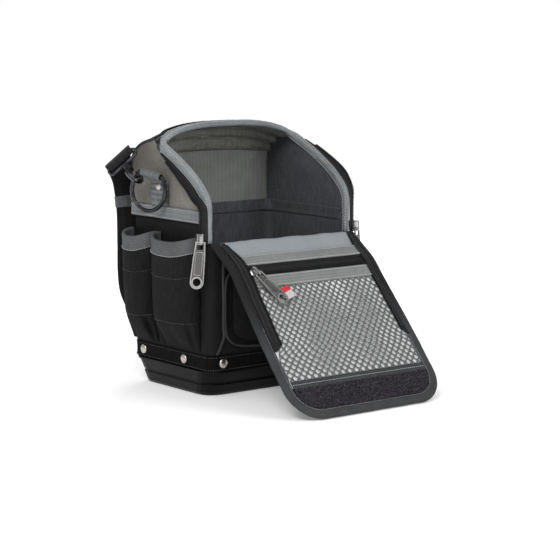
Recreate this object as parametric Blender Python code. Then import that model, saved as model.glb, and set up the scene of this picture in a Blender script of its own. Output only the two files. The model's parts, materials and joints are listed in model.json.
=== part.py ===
"""Compact hooded tool bag: moulded tub, soft shell and hood, pockets, zips, straps and a front flap.

Metres, +Z up, front at -Y. The origin is the centre of the tub's flat bottom. The flap is drawn
open, hanging from the front of the mouth down to the floor.
"""

import math

import bmesh
import bpy
from mathutils import Matrix, Vector
from mathutils.geometry import tessellate_polygon

# Clearances
seat_gap = 0.0003
turning_gap = 0.0005
cut_overrun = 0.002

# Body
body_width = 0.209
body_depth = 0.160
body_corner = 0.011
shell_wall = 0.004
front_height = 0.180
side_height = 0.202
front_step = 0.0006

# Moulded tub and the hem band riveted round it
tub_corner = 0.022
tub_foot_chamfer = 0.003
tub_rim_side_overhang = 0.0025
tub_rim_front_overhang = 0.0005
tub_side_lean = 0.0055
tub_front_lean = 0.011
tub_rim_height = 0.030
tub_rim_lip = 0.003
tub_groove_height = 0.014
tub_groove_deep = 0.0012
tub_wall = 0.0025
tub_floor = 0.0035
flange_top = 0.0495
flange_inset = 0.0045
band_thickness = 0.0026
rivet_radius = 0.0059
rivet_height = 0.0022
rivet_level = 0.040
rivet_sunk = 0.001
rivet_dome_shares = ((1.0, 0.15), (0.88, 0.55), (0.55, 0.9), (0.2, 1.0))
side_rivet_spread = 0.0842
side_rivet_shift = 0.0147
front_rivet_spread = 0.172
board_thickness = 0.003
board_margin = 0.004

# Hood: mouth line from the front corner up to the top corner, and the top
hood_height = 0.093
hood_top_depth = 0.058
mouth_reach_shares = (0.0, 0.0, 0.0, 0.006, 0.039, 0.110, 0.343, 0.618, 0.804, 1.0)
mouth_rise_shares = (0.0, 0.174, 0.357, 0.417, 0.461, 0.500, 0.670, 0.830, 0.935, 1.0)
hood_crown = 0.019
hood_crown_power = 3
hood_back_shares = ((1.0, 0.0), (1.0, 0.64), (0.96, 0.77), (0.87, 0.86), (0.72, 0.93), (0.52, 0.98))
gusset_thickness = 0.0035
hood_thickness = 0.004
binding_depth = 0.011
binding_thickness = 0.0064

# Zip tape, slider and puller
tape_width = 0.008
tape_thickness = 0.0012
bead_width = 0.0025
bead_thickness = 0.003
tape_flare = math.radians(25)
mouth_tape_share = 0.915
slider_length = 0.012
slider_wall = 0.0018
slider_slot = 0.0010
slider_travel_start = 0.001
bridge_length = 0.011
bridge_width = 0.0032
bridge_rise = 0.0030
bridge_bar = 0.0014
puller_seat = 0.0034
puller_length = 0.054
puller_width = 0.0145
puller_thickness = 0.0017
puller_hole = 0.0052
puller_slot_length = 0.0075
puller_slot_width = 0.0072
puller_neck = 0.0095

# Webbing bands on the gussets and the rings' webbing loops
side_band_height = 0.0148
side_band_thickness = 0.0014
loop_webbing_width = 0.028
loop_leg_width_share = 1.12
loop_webbing_thickness = 0.0014
loop_centre_y = 0.0175
loop_rivet_level = 0.0165
loop_knee_level = 0.0185
loop_seat = 0.0007
loop_fold_clearance = 0.0006

# Carry ring and snap hook
ring_wire = 0.0025
ring_radius = 0.0235
ring_shoulder_shares = ((0.82, 0.59), (0.77, 0.76), (0.66, 0.85), (0.5, 0.86))
ring_stand_off = 0.0165
ring_centre_y = 0.020
ring_centre_height = 0.2355
ring_turn = math.radians(21)
ring_tilt = math.radians(12)
hook_place = math.radians(30)
hook_half_width = 0.0085
hook_nose = 0.0078
hook_base = 0.0135
hook_bar = 0.0024
gate_bar = 0.0018
barrel_radius = 0.0042
barrel_length = 0.004
eye_bar = 0.0018
eye_place = 0.030
strap_side_direction = (0.649, -0.473, 0.597)

# Shoulder strap
strap_width = 0.036
strap_thickness = 0.0018
strap_tail = 0.014

# Carry handle on the upper back
handle_span = 0.112
handle_drop = 0.040
handle_grip_radius = 0.0065
handle_pin_radius = 0.0028
handle_level = 0.240
anchor_width = 0.022
anchor_height = 0.030

# Outer pockets: a wide one at the front and a narrow one behind it, on each side
pocket_thickness = 0.0022
pocket_bulge = 0.0245
pocket_foot_bulge = 0.0028
pocket_floor = 0.052
pocket_full_share = 0.34
pocket_top = 0.1855
pocket_dip = 0.0065
pocket_power = 2.6
wide_pocket_margin = 0.018
narrow_pocket_margin = 0.0015
narrow_pocket_width = 0.0545
pocket_spacing = 0.0035
pocket_binding_height = 0.0165
pocket_binding_thickness = 0.0012

# Padded pocket on the front wall
front_pocket_width = 0.168
front_pocket_top_margin = 0.026
front_pocket_corner = 0.022
front_pocket_bottom = 0.056
front_pocket_padding = 0.0055

# Inside: divider and a row of tool pockets on it
divider_thickness = 0.003
divider_height = 0.135
divider_place = 0.018
divider_margin = 0.0012
divider_binding_height = 0.014
tool_pocket_count = 4
tool_pocket_bulge = 0.014
tool_pocket_height = 0.085
tool_pocket_lift = 0.004
tool_pocket_thickness = 0.0018

# Flap: lengths of its three panels along the fabric and how far each droops below level
flap_width = 0.211
flap_lower_length = 0.046
flap_middle_length = 0.1542
flap_tip_length = 0.0445
flap_hinge_forward = 0.0035
flap_lower_droop = math.radians(35)
flap_middle_droop = math.radians(50.5)
flap_tip_droop = math.radians(48.5)
flap_thickness = 0.003
flap_edge_width = 0.0130
flap_edge_thickness = 0.006
flap_corner = 0.036
crease_gap = 0.00035
crease_half = 0.00055
crease_run = 0.0021
hinge_overlap = 0.0025
hinge_run = 0.0015
webbing_thickness = 0.0012
flap_webbing_start = 0.017
flap_webbing_end = 0.0325
pocket_zip_start = 0.0365
pocket_zip_drop = 0.0050
pocket_webbing_start = 0.0125
pocket_webbing_width = 0.0140
net_side_margin = 0.0045
net_end_margin = 0.0044
net_columns = 14
net_rows = 8
net_strand = 0.0012
net_thickness = 0.0009
net_bulge = 0.0034
flap_zip_start = 0.004
flap_zip_end = 0.109
loop_strip_start = 0.0035
loop_strip_end = 0.0330
loop_strip_thickness = 0.0016
pocket_slider_side = 0.078
pocket_slider_drop = 0.0080
pocket_puller_turn = math.radians(28)
pocket_puller_pitch = math.radians(2)
hook_strip_width = 0.150
hook_strip_length = 0.026
hook_strip_thickness = 0.0012

# Counts and shares
corner_steps = 5
mouth_steps = 26
crown_steps = 16
wire_sides = 8
ring_steps = 30
sharp_angle = math.radians(35)

half_width = body_width / 2
half_depth = body_depth / 2
half_flap = flap_width / 2
tub_rim_width = body_width + 2 * tub_rim_side_overhang
tub_rim_depth = body_depth + 2 * tub_rim_front_overhang
tub_bottom_width = tub_rim_width - 2 * tub_side_lean
tub_bottom_depth = tub_rim_depth - 2 * tub_front_lean
front_pocket_height = front_height - front_pocket_top_margin - front_pocket_bottom
mouth_reach = body_depth - hood_top_depth
mouth_rise = side_height + hood_height - front_height

for leftover in list(bpy.data.objects):
    bpy.data.objects.remove(leftover, do_unlink=True)


def finish(name, color, roughness, metallic=0.0):
    """Material with the piece's colour, roughness and metallic value."""
    material = bpy.data.materials.new(name)
    material.use_nodes = True
    shader = material.node_tree.nodes["Principled BSDF"]
    shader.inputs["Base Color"].default_value = (*color, 1.0)
    shader.inputs["Roughness"].default_value = roughness
    shader.inputs["Metallic"].default_value = metallic
    material.diffuse_color = (*color, 1.0)
    return material


black_fabric = ("black_fabric", (0.018, 0.018, 0.019), 0.85)
hem_fabric = ("hem_fabric", (0.022, 0.022, 0.023), 0.80)
taupe_fabric = ("taupe_fabric", (0.150, 0.140, 0.125), 0.85)
grey_webbing = ("grey_webbing", (0.160, 0.170, 0.175), 0.75)
lip_fabric = ("lip_fabric", (0.270, 0.290, 0.315), 0.75)
black_webbing = ("black_webbing", (0.014, 0.014, 0.015), 0.70)
tub_plastic = ("tub_plastic", (0.016, 0.016, 0.017), 0.50)
grip_rubber = ("grip_rubber", (0.020, 0.020, 0.021), 0.60)
hook_metal = ("hook_metal", (0.030, 0.030, 0.033), 0.30, 0.8)
nickel = ("nickel", (0.520, 0.500, 0.480), 0.32, 1.0)
zip_black = ("zip_black", (0.012, 0.012, 0.013), 0.55)
net_fabric = ("net_fabric", (0.420, 0.430, 0.440), 0.55)
loop_pile = ("loop_pile", (0.050, 0.045, 0.055), 0.95)


def own_material(name, spec):
    """Each node has a material of its own, made from a shared finish."""
    return finish(name + "_" + spec[0], *spec[1:])


def add_object(name, bm, spec, closed=True):
    """Turn a bmesh into the node's object."""
    if closed:
        bmesh.ops.recalc_face_normals(bm, faces=bm.faces)
    mesh = bpy.data.meshes.new(name)
    bm.to_mesh(mesh)
    bm.free()
    mesh.shade_smooth()
    mesh.set_sharp_from_angle(angle=sharp_angle)
    mesh.materials.append(own_material(name, spec))
    obj = bpy.data.objects.new(name, mesh)
    bpy.context.collection.objects.link(obj)
    return obj


def loft(name, rings, spec, closed=False):
    """Skin a row of rings; the row is capped at both ends, or closes on itself."""
    bm = bmesh.new()
    rows = [[bm.verts.new(point) for point in ring] for ring in rings]
    following = rows[1:] + rows[:1] if closed else rows[1:]
    for low, high in zip(rows, following):
        for i in range(len(low)):
            j = (i + 1) % len(low)
            bm.faces.new((low[i], low[j], high[j], high[i]))
    if not closed:
        bm.faces.new(rows[0])
        bm.faces.new(rows[-1])
    return add_object(name, bm, spec)


def sheet(name, columns, rows, place, thickness, spec, side=-1):
    """Panel from a grid of points place(u, v), thickened to one side of it."""
    bm = bmesh.new()
    grid = [[bm.verts.new(place(i / columns, j / rows)) for i in range(columns + 1)] for j in range(rows + 1)]
    for low, high in zip(grid, grid[1:]):
        for i in range(columns):
            bm.faces.new((low[i], low[i + 1], high[i + 1], high[i]))
    obj = add_object(name, bm, spec, closed=False)
    wall = obj.modifiers.new("wall", "SOLIDIFY")
    wall.thickness = thickness
    wall.offset = side
    wall.use_even_offset = True
    return obj


def skin(name, columns, rows, outer, inner, spec):
    """Panel between an outer and an inner grid of points, closed along its four edges."""
    bm = bmesh.new()
    grids = [
        [[bm.verts.new(place(i / columns, j / rows)) for i in range(columns + 1)] for j in range(rows + 1)]
        for place in (outer, inner)
    ]
    for grid in grids:
        for low, high in zip(grid, grid[1:]):
            for i in range(columns):
                bm.faces.new((low[i], low[i + 1], high[i + 1], high[i]))
    out, back = grids
    rims = [
        [row[0] for row in out], [row[0] for row in back], [row[-1] for row in out], [row[-1] for row in back],
        out[0], back[0], out[-1], back[-1],
    ]
    for a, b in zip(rims[::2], rims[1::2]):
        for i in range(len(a) - 1):
            bm.faces.new((a[i], a[i + 1], b[i + 1], b[i]))
    return add_object(name, bm, spec)


def plate(name, outline, holes, thickness, frame, spec):
    """Flat plate with holes; its outline lies in the frame's own x and y."""
    loops = [outline] + holes
    flat = [Vector((x, y, 0)) for loop in loops for x, y in loop]
    triangles = tessellate_polygon([[Vector((x, y, 0)) for x, y in loop] for loop in loops])
    bm = bmesh.new()
    lift = Vector((0, 0, thickness / 2))
    top = [bm.verts.new(frame @ (point + lift)) for point in flat]
    bottom = [bm.verts.new(frame @ (point - lift)) for point in flat]
    for a, b, c in triangles:
        bm.faces.new((top[a], top[b], top[c]))
        bm.faces.new((bottom[c], bottom[b], bottom[a]))
    start = 0
    for loop in loops:
        for i in range(len(loop)):
            a, b = start + i, start + (i + 1) % len(loop)
            bm.faces.new((top[a], top[b], bottom[b], bottom[a]))
        start += len(loop)
    return add_object(name, bm, spec)


def bar_section(width, thickness, chamfer_share=0.3):
    """Oblong with its corners taken off, for webbing, bindings and bars."""
    w, t = width / 2, thickness / 2
    c = min(w, t) * chamfer_share
    return [(-w, -t + c), (-w + c, -t), (w - c, -t), (w, -t + c), (w, t - c), (w - c, t), (-w + c, t), (-w, t - c)]


def round_section(radius, sides=wire_sides):
    """Circle for wires and bars."""
    turns = [math.tau * (i + 0.5) / sides for i in range(sides)]
    return [(radius * math.cos(turn), radius * math.sin(turn)) for turn in turns]


def rounded_rect(width, depth, radius, steps=corner_steps):
    """Oblong with round corners, anticlockwise from the right-hand side."""
    points = []
    for turn in range(4):
        cx = (width / 2 - radius) * (1 if turn in (0, 3) else -1)
        cy = (depth / 2 - radius) * (1 if turn < 2 else -1)
        for i in range(steps + 1):
            angle = math.pi / 2 * (turn + i / steps)
            points.append((cx + radius * math.cos(angle), cy + radius * math.sin(angle)))
    return points


def level_ring(outline, height):
    """Flat outline raised to a height."""
    return [Vector((x, y, height)) for x, y in outline]


def smooth_path(points, steps):
    """Catmull-Rom curve through points, with the same steps between each pair."""
    knots = [Vector(p) for p in points]
    knots = [knots[0] * 2 - knots[1]] + knots + [knots[-1] * 2 - knots[-2]]
    path = []
    for a, b, c, d in zip(knots, knots[1:], knots[2:], knots[3:]):
        for i in range(steps):
            t = i / steps
            path.append(
                0.5 * (2 * b + (c - a) * t + (2 * a - 5 * b + 4 * c - d) * t ** 2
                       + (3 * b - a - 3 * c + d) * t ** 3)
            )
    return path + [knots[-2]]


def resample(path, count):
    """The same path with points at even distances."""
    lengths = [0.0]
    for a, b in zip(path, path[1:]):
        lengths.append(lengths[-1] + (b - a).length)
    points = []
    leg = 0
    for i in range(count + 1):
        wanted = lengths[-1] * i / count
        while leg < len(path) - 2 and lengths[leg + 1] < wanted:
            leg += 1
        share = (wanted - lengths[leg]) / (lengths[leg + 1] - lengths[leg])
        points.append(path[leg].lerp(path[leg + 1], min(share, 1.0)))
    return points


def stations(path, sides, closed=False):
    """Point, width direction and thickness direction at each point of a path."""
    last = len(path) - 1
    out = []
    for i, point in enumerate(path):
        before = path[i - 1] if i or closed else point
        after = path[(i + 1) % len(path)] if i < last or closed else point
        across = (after - before).cross(sides[i]).normalized()
        out.append((point, sides[i].normalized(), across))
    return out


def sweep(name, rail, section, spec, closed=False):
    """Carry a flat section (width, thickness) along a rail of stations."""
    rings = [[point + a * wide + b * thick for a, b in section] for point, wide, thick in rail]
    return loft(name, rings, spec, closed)


def strip(name, path, side, width, thickness, spec, chamfer_share=0.3):
    """Flat strip along a path that keeps one width direction."""
    rail = stations(path, [Vector(side)] * len(path))
    return sweep(name, rail, bar_section(width, thickness, chamfer_share), spec)


def half_turn(centre, start, over, radius, steps=6, share=1.0):
    """Points of about half a turn round a wire, from the start side over its top to the far side."""
    turns = [math.pi * share * i / steps for i in range(steps + 1)]
    return [centre + radius * (math.cos(turn) * start + math.sin(turn) * over) for turn in turns]


def mirrored(point, side):
    """A point worked out for the left side, moved to its own side."""
    return Vector((-side * point[0], point[1], point[2]))


def hide_cutter(obj):
    """Helper shapes stay out of the model."""
    obj.hide_render = True
    obj.display_type = "WIRE"


def join_by(obj, helper, operation):
    """Boolean with a hidden helper shape, on flat triangles."""
    if not obj.modifiers:
        obj.modifiers.new("triangles", "TRIANGULATE")
    change = obj.modifiers.new("join", "BOOLEAN")
    change.operation = operation
    change.object = helper
    hide_cutter(helper)


LEFT, RIGHT = -1, 1
SIDES = ((LEFT, "left"), (RIGHT, "right"))


# Tub, floor board and hem band

flange_width = body_width - flange_inset
flange_depth = body_depth - flange_inset
flange_corner = body_corner - flange_inset / 2


def tub_profile():
    """Width, depth, corner radius and height of each ring, up the outside and down the inside."""
    bottom = (tub_bottom_width, tub_bottom_depth)
    rim = (tub_rim_width, tub_rim_depth)

    def between(share, height, cut=0.0):
        size = [low + (high - low) * share - 2 * cut for low, high in zip(bottom, rim)]
        return (size[0], size[1], tub_corner - cut, height)

    groove = tub_groove_height
    outside = [
        (bottom[0] - 2 * tub_foot_chamfer, bottom[1] - 2 * tub_foot_chamfer, tub_corner - tub_foot_chamfer, 0.0),
        (bottom[0], bottom[1], tub_corner, tub_foot_chamfer),
        between(0.35, groove - tub_groove_deep),
        between(0.35, groove, tub_groove_deep),
        between(0.40, groove + tub_groove_deep, tub_groove_deep),
        between(0.40, groove + 2 * tub_groove_deep),
        between(0.80, tub_rim_height - tub_rim_lip),
        between(1.0, tub_rim_height - tub_rim_lip * 0.7),
        between(1.0, tub_rim_height),
    ]
    flange = [
        (flange_width, flange_depth, flange_corner, tub_rim_height),
        (flange_width, flange_depth, flange_corner, flange_top),
    ]
    inset = 2 * tub_wall
    inside = [
        (flange_width - inset, flange_depth - inset, flange_corner - tub_wall / 2, flange_top),
        (flange_width - inset, flange_depth - inset, flange_corner - tub_wall / 2, tub_rim_height),
        (bottom[0] - inset - tub_side_lean, bottom[1] - inset, tub_corner - tub_wall, 2 * tub_floor),
        (bottom[0] - 2 * inset - tub_side_lean, bottom[1] - 2 * inset, tub_corner - inset, tub_floor),
    ]
    return outside + flange + inside


loft("base_tub", [level_ring(rounded_rect(w, d, r), z) for w, d, r, z in tub_profile()], tub_plastic)

board_width = tub_bottom_width - 2 * (2 * tub_wall + board_margin) - tub_side_lean
board_depth = tub_bottom_depth - 2 * (2 * tub_wall + board_margin)
board_bottom = tub_floor + seat_gap
board_outline = rounded_rect(board_width, board_depth, tub_corner - board_margin)
loft("floor_board", [level_ring(board_outline, z) for z in (board_bottom, board_bottom + board_thickness)], hem_fabric)
board_top = board_bottom + board_thickness

band_inner = 2 * seat_gap
band_outer = band_inner + 2 * band_thickness
band_bottom = tub_rim_height + seat_gap
band_top = flange_top


def band_ring(grow, height):
    """Ring round the tub's flange."""
    outline = rounded_rect(flange_width + grow, flange_depth + grow, flange_corner + grow / 2)
    return level_ring(outline, height)


hem_band = loft(
    "base_hem_band",
    [
        band_ring(band_inner, band_bottom),
        band_ring(band_outer, band_bottom),
        band_ring(band_outer, band_top),
        band_ring(band_inner, band_top),
    ],
    hem_fabric,
    closed=True,
)


def dome_rings(centre, outward, radius, height, sunk, sides=10):
    """Rings of a rivet head: a low dome on a short sunk foot."""
    up = Vector((0, 0, 1))
    across = up.cross(outward)
    profile = [(1.0, -sunk)] + [(share, height * rise) for share, rise in rivet_dome_shares]
    turns = [math.tau * i / sides for i in range(sides)]
    return [
        [centre + outward * rise + radius * share * (math.cos(t) * across + math.sin(t) * up) for t in turns]
        for share, rise in profile
    ]


def rivet_spots():
    """Place and outward direction of each rivet of the hem band."""
    face_x = flange_width / 2 + band_outer / 2
    face_y = flange_depth / 2 + band_outer / 2
    for side in (LEFT, RIGHT):
        for end in (-1, 1):
            y = side_rivet_shift + end * side_rivet_spread / 2
            yield Vector((side * face_x, y, rivet_level)), Vector((side, 0, 0))
            x = side * front_rivet_spread / 2
            yield Vector((x, end * face_y, rivet_level)), Vector((0, end, 0))


def rivet_heads(name, spots, radius, height, sunk):
    """All the rivet heads of one band as one helper shape."""
    bm = bmesh.new()
    for centre, outward in spots:
        rows = [[bm.verts.new(p) for p in ring] for ring in dome_rings(centre, outward, radius, height, sunk)]
        for low, high in zip(rows, rows[1:]):
            for i in range(len(low)):
                j = (i + 1) % len(low)
                bm.faces.new((low[i], low[j], high[j], high[i]))
        bm.faces.new(rows[0])
        bm.faces.new(rows[-1])
    return add_object(name, bm, nickel)


join_by(hem_band, rivet_heads("hem_rivets", rivet_spots(), rivet_radius, rivet_height, rivet_sunk), "UNION")


# Shell: one soft wall round the body, lower across the front

def shell_ring(inset, height_front, height_side):
    """Ring of the shell; the sides and back may stand higher than the front."""
    width, depth = body_width - 2 * inset, body_depth - 2 * inset
    points = rounded_rect(width, depth, body_corner - inset)
    edge = -half_depth + body_corner
    ring = []
    for i, (x, y) in enumerate(points):
        ring.append(Vector((x, y, height_side if y > edge + front_step / 2 else height_front)))
        after = points[(i + 1) % len(points)]
        if abs(x - after[0]) < front_step / 2 and abs(y - after[1]) > body_corner:
            step = Vector((x, edge + front_step, height_side))
            ring.append(step)
    return ring


shell_bottom = flange_top + seat_gap
shell_hem = shell_bottom + binding_depth
loft(
    "body_shell",
    [
        shell_ring(0.0, shell_bottom, shell_bottom),
        shell_ring(0.0, shell_hem, shell_hem),
        shell_ring(0.0, front_height, side_height),
        shell_ring(shell_wall, front_height, side_height),
        shell_ring(shell_wall, shell_hem, shell_hem),
        shell_ring(shell_wall, shell_bottom, shell_bottom),
    ],
    black_fabric,
    closed=True,
)


def front_pocket():
    """Padded pocket on the front wall, with round lower corners and a soft edge."""
    middle = front_pocket_bottom + front_pocket_height / 2
    back = -half_depth - seat_gap
    layers = ((0.0, 0.0), (0.35, 0.0), (0.8, 0.3), (1.0, 1.0))
    rings = []
    for rise, shrink in layers:
        cut = shrink * front_pocket_padding
        outline = rounded_rect(front_pocket_width - 2 * cut, front_pocket_height - 2 * cut, front_pocket_corner - cut)
        rings.append([Vector((x, back - rise * front_pocket_padding, middle + z)) for x, z in outline])
    return loft("front_pocket", rings, black_fabric)


front_pocket()


# Mouth line of the hood, in the (y, z) plane of each side

def mouth_curve():
    """Even points up the mouth's edge, from the front wall's top to the top corner."""
    knots = [
        Vector((0, -half_depth + reach * mouth_reach, front_height + rise * mouth_rise))
        for reach, rise in zip(mouth_reach_shares, mouth_rise_shares)
    ]
    return resample(smooth_path(knots, 6), mouth_steps)


mouth = mouth_curve()


def inward_at(index):
    """Direction from the mouth's edge into the side panel."""
    along = (mouth[min(index + 1, mouth_steps)] - mouth[max(index - 1, 0)]).normalized()
    return Vector((0, along.z, -along.y))


hood_top_z = front_height + mouth_rise
hood_front_y = -half_depth + mouth_reach


def crown_at(x, half_span):
    """Extra height of the hood's top between its side edges."""
    return hood_crown * (1 - abs(x / half_span) ** hood_crown_power)


back_knots = [
    Vector((0, half_depth * reach, side_height + seat_gap + share * (hood_top_z - side_height)))
    for reach, share in hood_back_shares
]
hood_back_curve = smooth_path(back_knots, 5)


def gusset(side, label):
    """Flat side of the hood between the mouth's binding and the back edge."""
    low = next(i for i, point in enumerate(mouth) if point.z > side_height + binding_depth)
    first = Vector((0, -half_depth + binding_depth + seat_gap, side_height + seat_gap))
    rest = [mouth[i] + inward_at(i) * (binding_depth + seat_gap) for i in range(low, mouth_steps)]
    outline = [(p.y, p.z) for p in [first] + rest + list(reversed(hood_back_curve))]
    middle = side * (half_width - gusset_thickness / 2)
    frame = Matrix(((0, 0, 1, middle), (1, 0, 0, 0), (0, 1, 0, 0), (0, 0, 0, 1)))
    return plate("gusset_" + label, outline, [], gusset_thickness, frame, taupe_fabric)


for side, label in SIDES:
    gusset(side, label)


def hood_shell():
    """Top of the hood and the upper back in one curved panel."""
    half_span = half_width - gusset_thickness - seat_gap
    front_y = hood_front_y + binding_depth + 4 * seat_gap
    top_edge = Vector((0, front_y, hood_top_z))
    curve = resample(hood_back_curve + [top_edge], 16)
    low_z = curve[0].z

    def place(u, v):
        point = curve[round(v * 16)]
        x = half_span * (2 * u - 1)
        lift = crown_at(x, half_width) * min(1.0, max(0.0, (point.z - low_z) / (hood_top_z - low_z) - 0.6) / 0.35)
        return Vector((x, point.y, point.z + lift))

    return sheet("hood_shell", crown_steps, 16, place, hood_thickness, black_fabric, side=1)


hood_shell()


def lip_stations():
    """Rail of the lip binding: up the left side of the mouth, over the crown and down the right."""
    half_depth_in = binding_depth / 2
    x = half_width + (binding_thickness - gusset_thickness) / 2 - binding_thickness / 2
    left, normals = [], []
    for i in range(1, mouth_steps - 1):
        inward = inward_at(i)
        left.append(mouth[i] + inward * half_depth_in + Vector((-x, 0, 0)))
        normals.append(inward)
    left[0].z = front_height + seat_gap
    top_y = hood_front_y + half_depth_in
    top_z = hood_top_z - binding_thickness / 2
    arch = []
    for i in range(crown_steps + 1):
        across = (half_width - binding_depth) * (2 * i / crown_steps - 1)
        arch.append(Vector((across, top_y, top_z + crown_at(across, half_width))))
    right = [Vector((-p.x, p.y, p.z)) for p in reversed(left)]
    path = left + arch + right
    back = Vector((0, 1, 0))
    sides = normals + [back] * len(arch) + list(reversed(normals))
    return stations(path, sides)


sweep("lip_binding", lip_stations(), bar_section(binding_depth, binding_thickness, 0.5), lip_fabric)


# Main zip: its tape and teeth stand out from the lip on each side, and a slider rides on them

binding_face = half_width + (binding_thickness - gusset_thickness) / 2
tape_root = binding_face + seat_gap


def tape_frame(side, inward):
    """Directions of a main zip tape: out along the tape, and out of its face."""
    out = Vector((side * math.cos(tape_flare), 0, 0)) + inward * math.sin(tape_flare)
    return out


def tape_section(width=tape_width):
    """Tape with its row of teeth along the free edge."""
    t, b = tape_thickness / 2, bead_thickness / 2
    end = width + bead_width
    return [(0, -t), (width, -t), (width, -b), (end, -b), (end, b), (width, b), (width, t), (0, t)]


def mouth_zip(side, label):
    """Half of the main zip along one side of the mouth."""
    last = round(mouth_steps * mouth_tape_share)
    path, sides = [], []
    for i in range(last + 1):
        inward = inward_at(i)
        start = mouth[i] + inward * (bead_thickness / 2 + seat_gap)
        path.append(Vector((side * tape_root, start.y, start.z)))
        sides.append(tape_frame(side, inward))
    path[0].z = front_height + seat_gap
    return sweep("main_zip_" + label, stations(path, sides), tape_section(), zip_black)


for side, label in SIDES:
    mouth_zip(side, label)


def slider_section():
    """Slider cut across its travel: a channel round the teeth with a slot for the tape."""
    inner_w = tape_width - turning_gap
    end_w = tape_width + bead_width + turning_gap
    inner_b = bead_thickness / 2 + turning_gap
    outer_b = inner_b + slider_wall
    start_w = inner_w - slider_wall
    slot = tape_thickness / 2 + turning_gap
    far_w = end_w + slider_wall
    return [
        (start_w, slot), (start_w, outer_b), (far_w, outer_b), (far_w, -outer_b), (start_w, -outer_b),
        (start_w, -slot), (inner_w, -slot), (inner_w, -inner_b), (end_w, -inner_b), (end_w, inner_b),
        (inner_w, inner_b), (inner_w, slot),
    ]


slider_face = bead_thickness / 2 + turning_gap + slider_wall
slider_middle = tape_width + bead_width / 2
pin_height = slider_face + bridge_rise / 2


def bridge_helper(name, frame):
    """Bridge on the slider's face; the puller hangs from it."""
    reach, rise, bar = bridge_length / 2, bridge_rise, bridge_bar
    path = [
        Vector((0, -reach, -bar)), Vector((0, -reach, rise)), Vector((0, -reach + bar, rise + bar / 2)),
        Vector((0, reach - bar, rise + bar / 2)), Vector((0, reach, rise)), Vector((0, reach, -bar)),
    ]
    rail = stations([frame @ p for p in path], [frame.to_3x3() @ Vector((1, 0, 0))] * len(path))
    return sweep(name, rail, bar_section(bridge_width, bridge_bar), nickel)


def puller_outline():
    """Plate with square shoulders, a slight waist and a round end; the pivot is at its origin."""
    half = puller_width / 2
    top = puller_thickness / 2
    end = puller_width / 2
    neck = half * 0.82
    points = [(-neck, top), (neck, top), (half, -puller_neck), (half, -puller_length + end)]
    for i in range(1, 12):
        turn = math.pi * i / 12
        points.append((half * math.cos(turn), -puller_length + end - end * math.sin(turn)))
    points += [(-half, -puller_length + end), (-half, -puller_neck)]
    return points


def circle(cx, cy, rx, ry, sides=12):
    """Round or oval hole."""
    turns = [-math.tau * (i + 0.5) / sides for i in range(sides)]
    return [(cx + rx * math.cos(t), cy + ry * math.sin(t)) for t in turns]


def puller(name, frame):
    """Zip puller: slot for the slider's bridge and a round hole at its free end."""
    slot_top = -puller_thickness / 2
    half_slot = puller_slot_width / 2
    slot = [
        (-half_slot, slot_top), (-half_slot, slot_top - puller_slot_length),
        (half_slot, slot_top - puller_slot_length), (half_slot, slot_top),
    ]
    hole = circle(0, -puller_length + puller_width / 2, puller_hole, puller_hole)
    return plate(name, puller_outline(), [slot, hole], puller_thickness, frame, nickel)


def slider_with_bridge(name, bottom, out, face, along, side):
    """Slider of the channel section along its travel, with its bridge joined on."""
    rings = [
        [bottom + along * step + out * a + face * b for a, b in slider_section()]
        for step in (0, slider_length)
    ]
    body = loft(name, rings, nickel)
    centre = bottom + along * (slider_length / 2) + out * slider_middle + face * slider_face
    turned = Matrix((out * side, along, face)).transposed().to_4x4()
    turned.translation = centre
    join_by(body, bridge_helper(name + "_bridge", turned), "UNION")
    return body, centre


def main_slider(side, label):
    """Slider at the foot of the mouth, with its puller hanging down in front."""
    inward = inward_at(0)
    out = tape_frame(side, inward)
    along = Vector((0, 0, 1))
    face = out.cross(along) * side
    start = mouth[0] + inward * (bead_thickness / 2 + seat_gap)
    bottom = Vector((side * tape_root, start.y, front_height + slider_travel_start))
    body, centre = slider_with_bridge("main_slider_" + label, bottom, out, face, along, side)
    frame = Matrix((out * side, along, face)).transposed().to_4x4()
    frame.translation = centre + face * (pin_height - slider_face) - along * puller_seat
    plate_body = puller("main_puller_" + label, Matrix.Identity(4))
    plate_body.matrix_world = frame
    return body


for side, label in SIDES:
    main_slider(side, label)


# Webbing bands on the gussets and the loops that hold the rings

side_band_bottom = side_height + seat_gap
side_band_middle = side_band_bottom + side_band_height / 2
side_band_front = -half_depth + binding_depth + seat_gap
side_band_x = half_width + seat_gap + side_band_thickness / 2
for side, label in SIDES:
    ends = [Vector((side * side_band_x, y, side_band_middle)) for y in (side_band_front, half_depth)]
    strip("side_band_" + label, ends, (0, 0, 1), side_band_height, side_band_thickness, grey_webbing)


up = Vector((0, 0, 1))


def ring_frame():
    """Left ring: centre, direction of its bar, direction towards the bar, and outward normal."""
    centre = Vector((-half_width - ring_stand_off, ring_centre_y, ring_centre_height))
    level = Vector((-math.sin(ring_turn), math.cos(ring_turn), 0))
    outward = Vector((-math.cos(ring_turn), -math.sin(ring_turn), 0))
    along = level * math.cos(ring_tilt) + up * math.sin(ring_tilt)
    rise = up * math.cos(ring_tilt) - level * math.sin(ring_tilt)
    return centre, along, rise, outward


ring_bar_rise = ring_radius * ring_shoulder_shares[-1][1]


def ring_path():
    """Round ring whose top runs straight through its webbing loop, in its own plane."""
    shoulder = [(ring_radius * a, ring_radius * b) for a, b in ring_shoulder_shares]
    start = math.atan2(shoulder[0][1], shoulder[0][0])
    turn = math.pi + 2 * start
    arc = []
    for i in range(1, ring_steps):
        angle = start - turn * i / ring_steps
        arc.append((ring_radius * math.cos(angle), ring_radius * math.sin(angle)))
    return list(reversed(shoulder)) + arc + [(-a, b) for a, b in shoulder]


def bar_centre():
    """Middle of the left ring's straight bar."""
    centre, _, rise, _ = ring_frame()
    return centre + rise * ring_bar_rise


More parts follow.
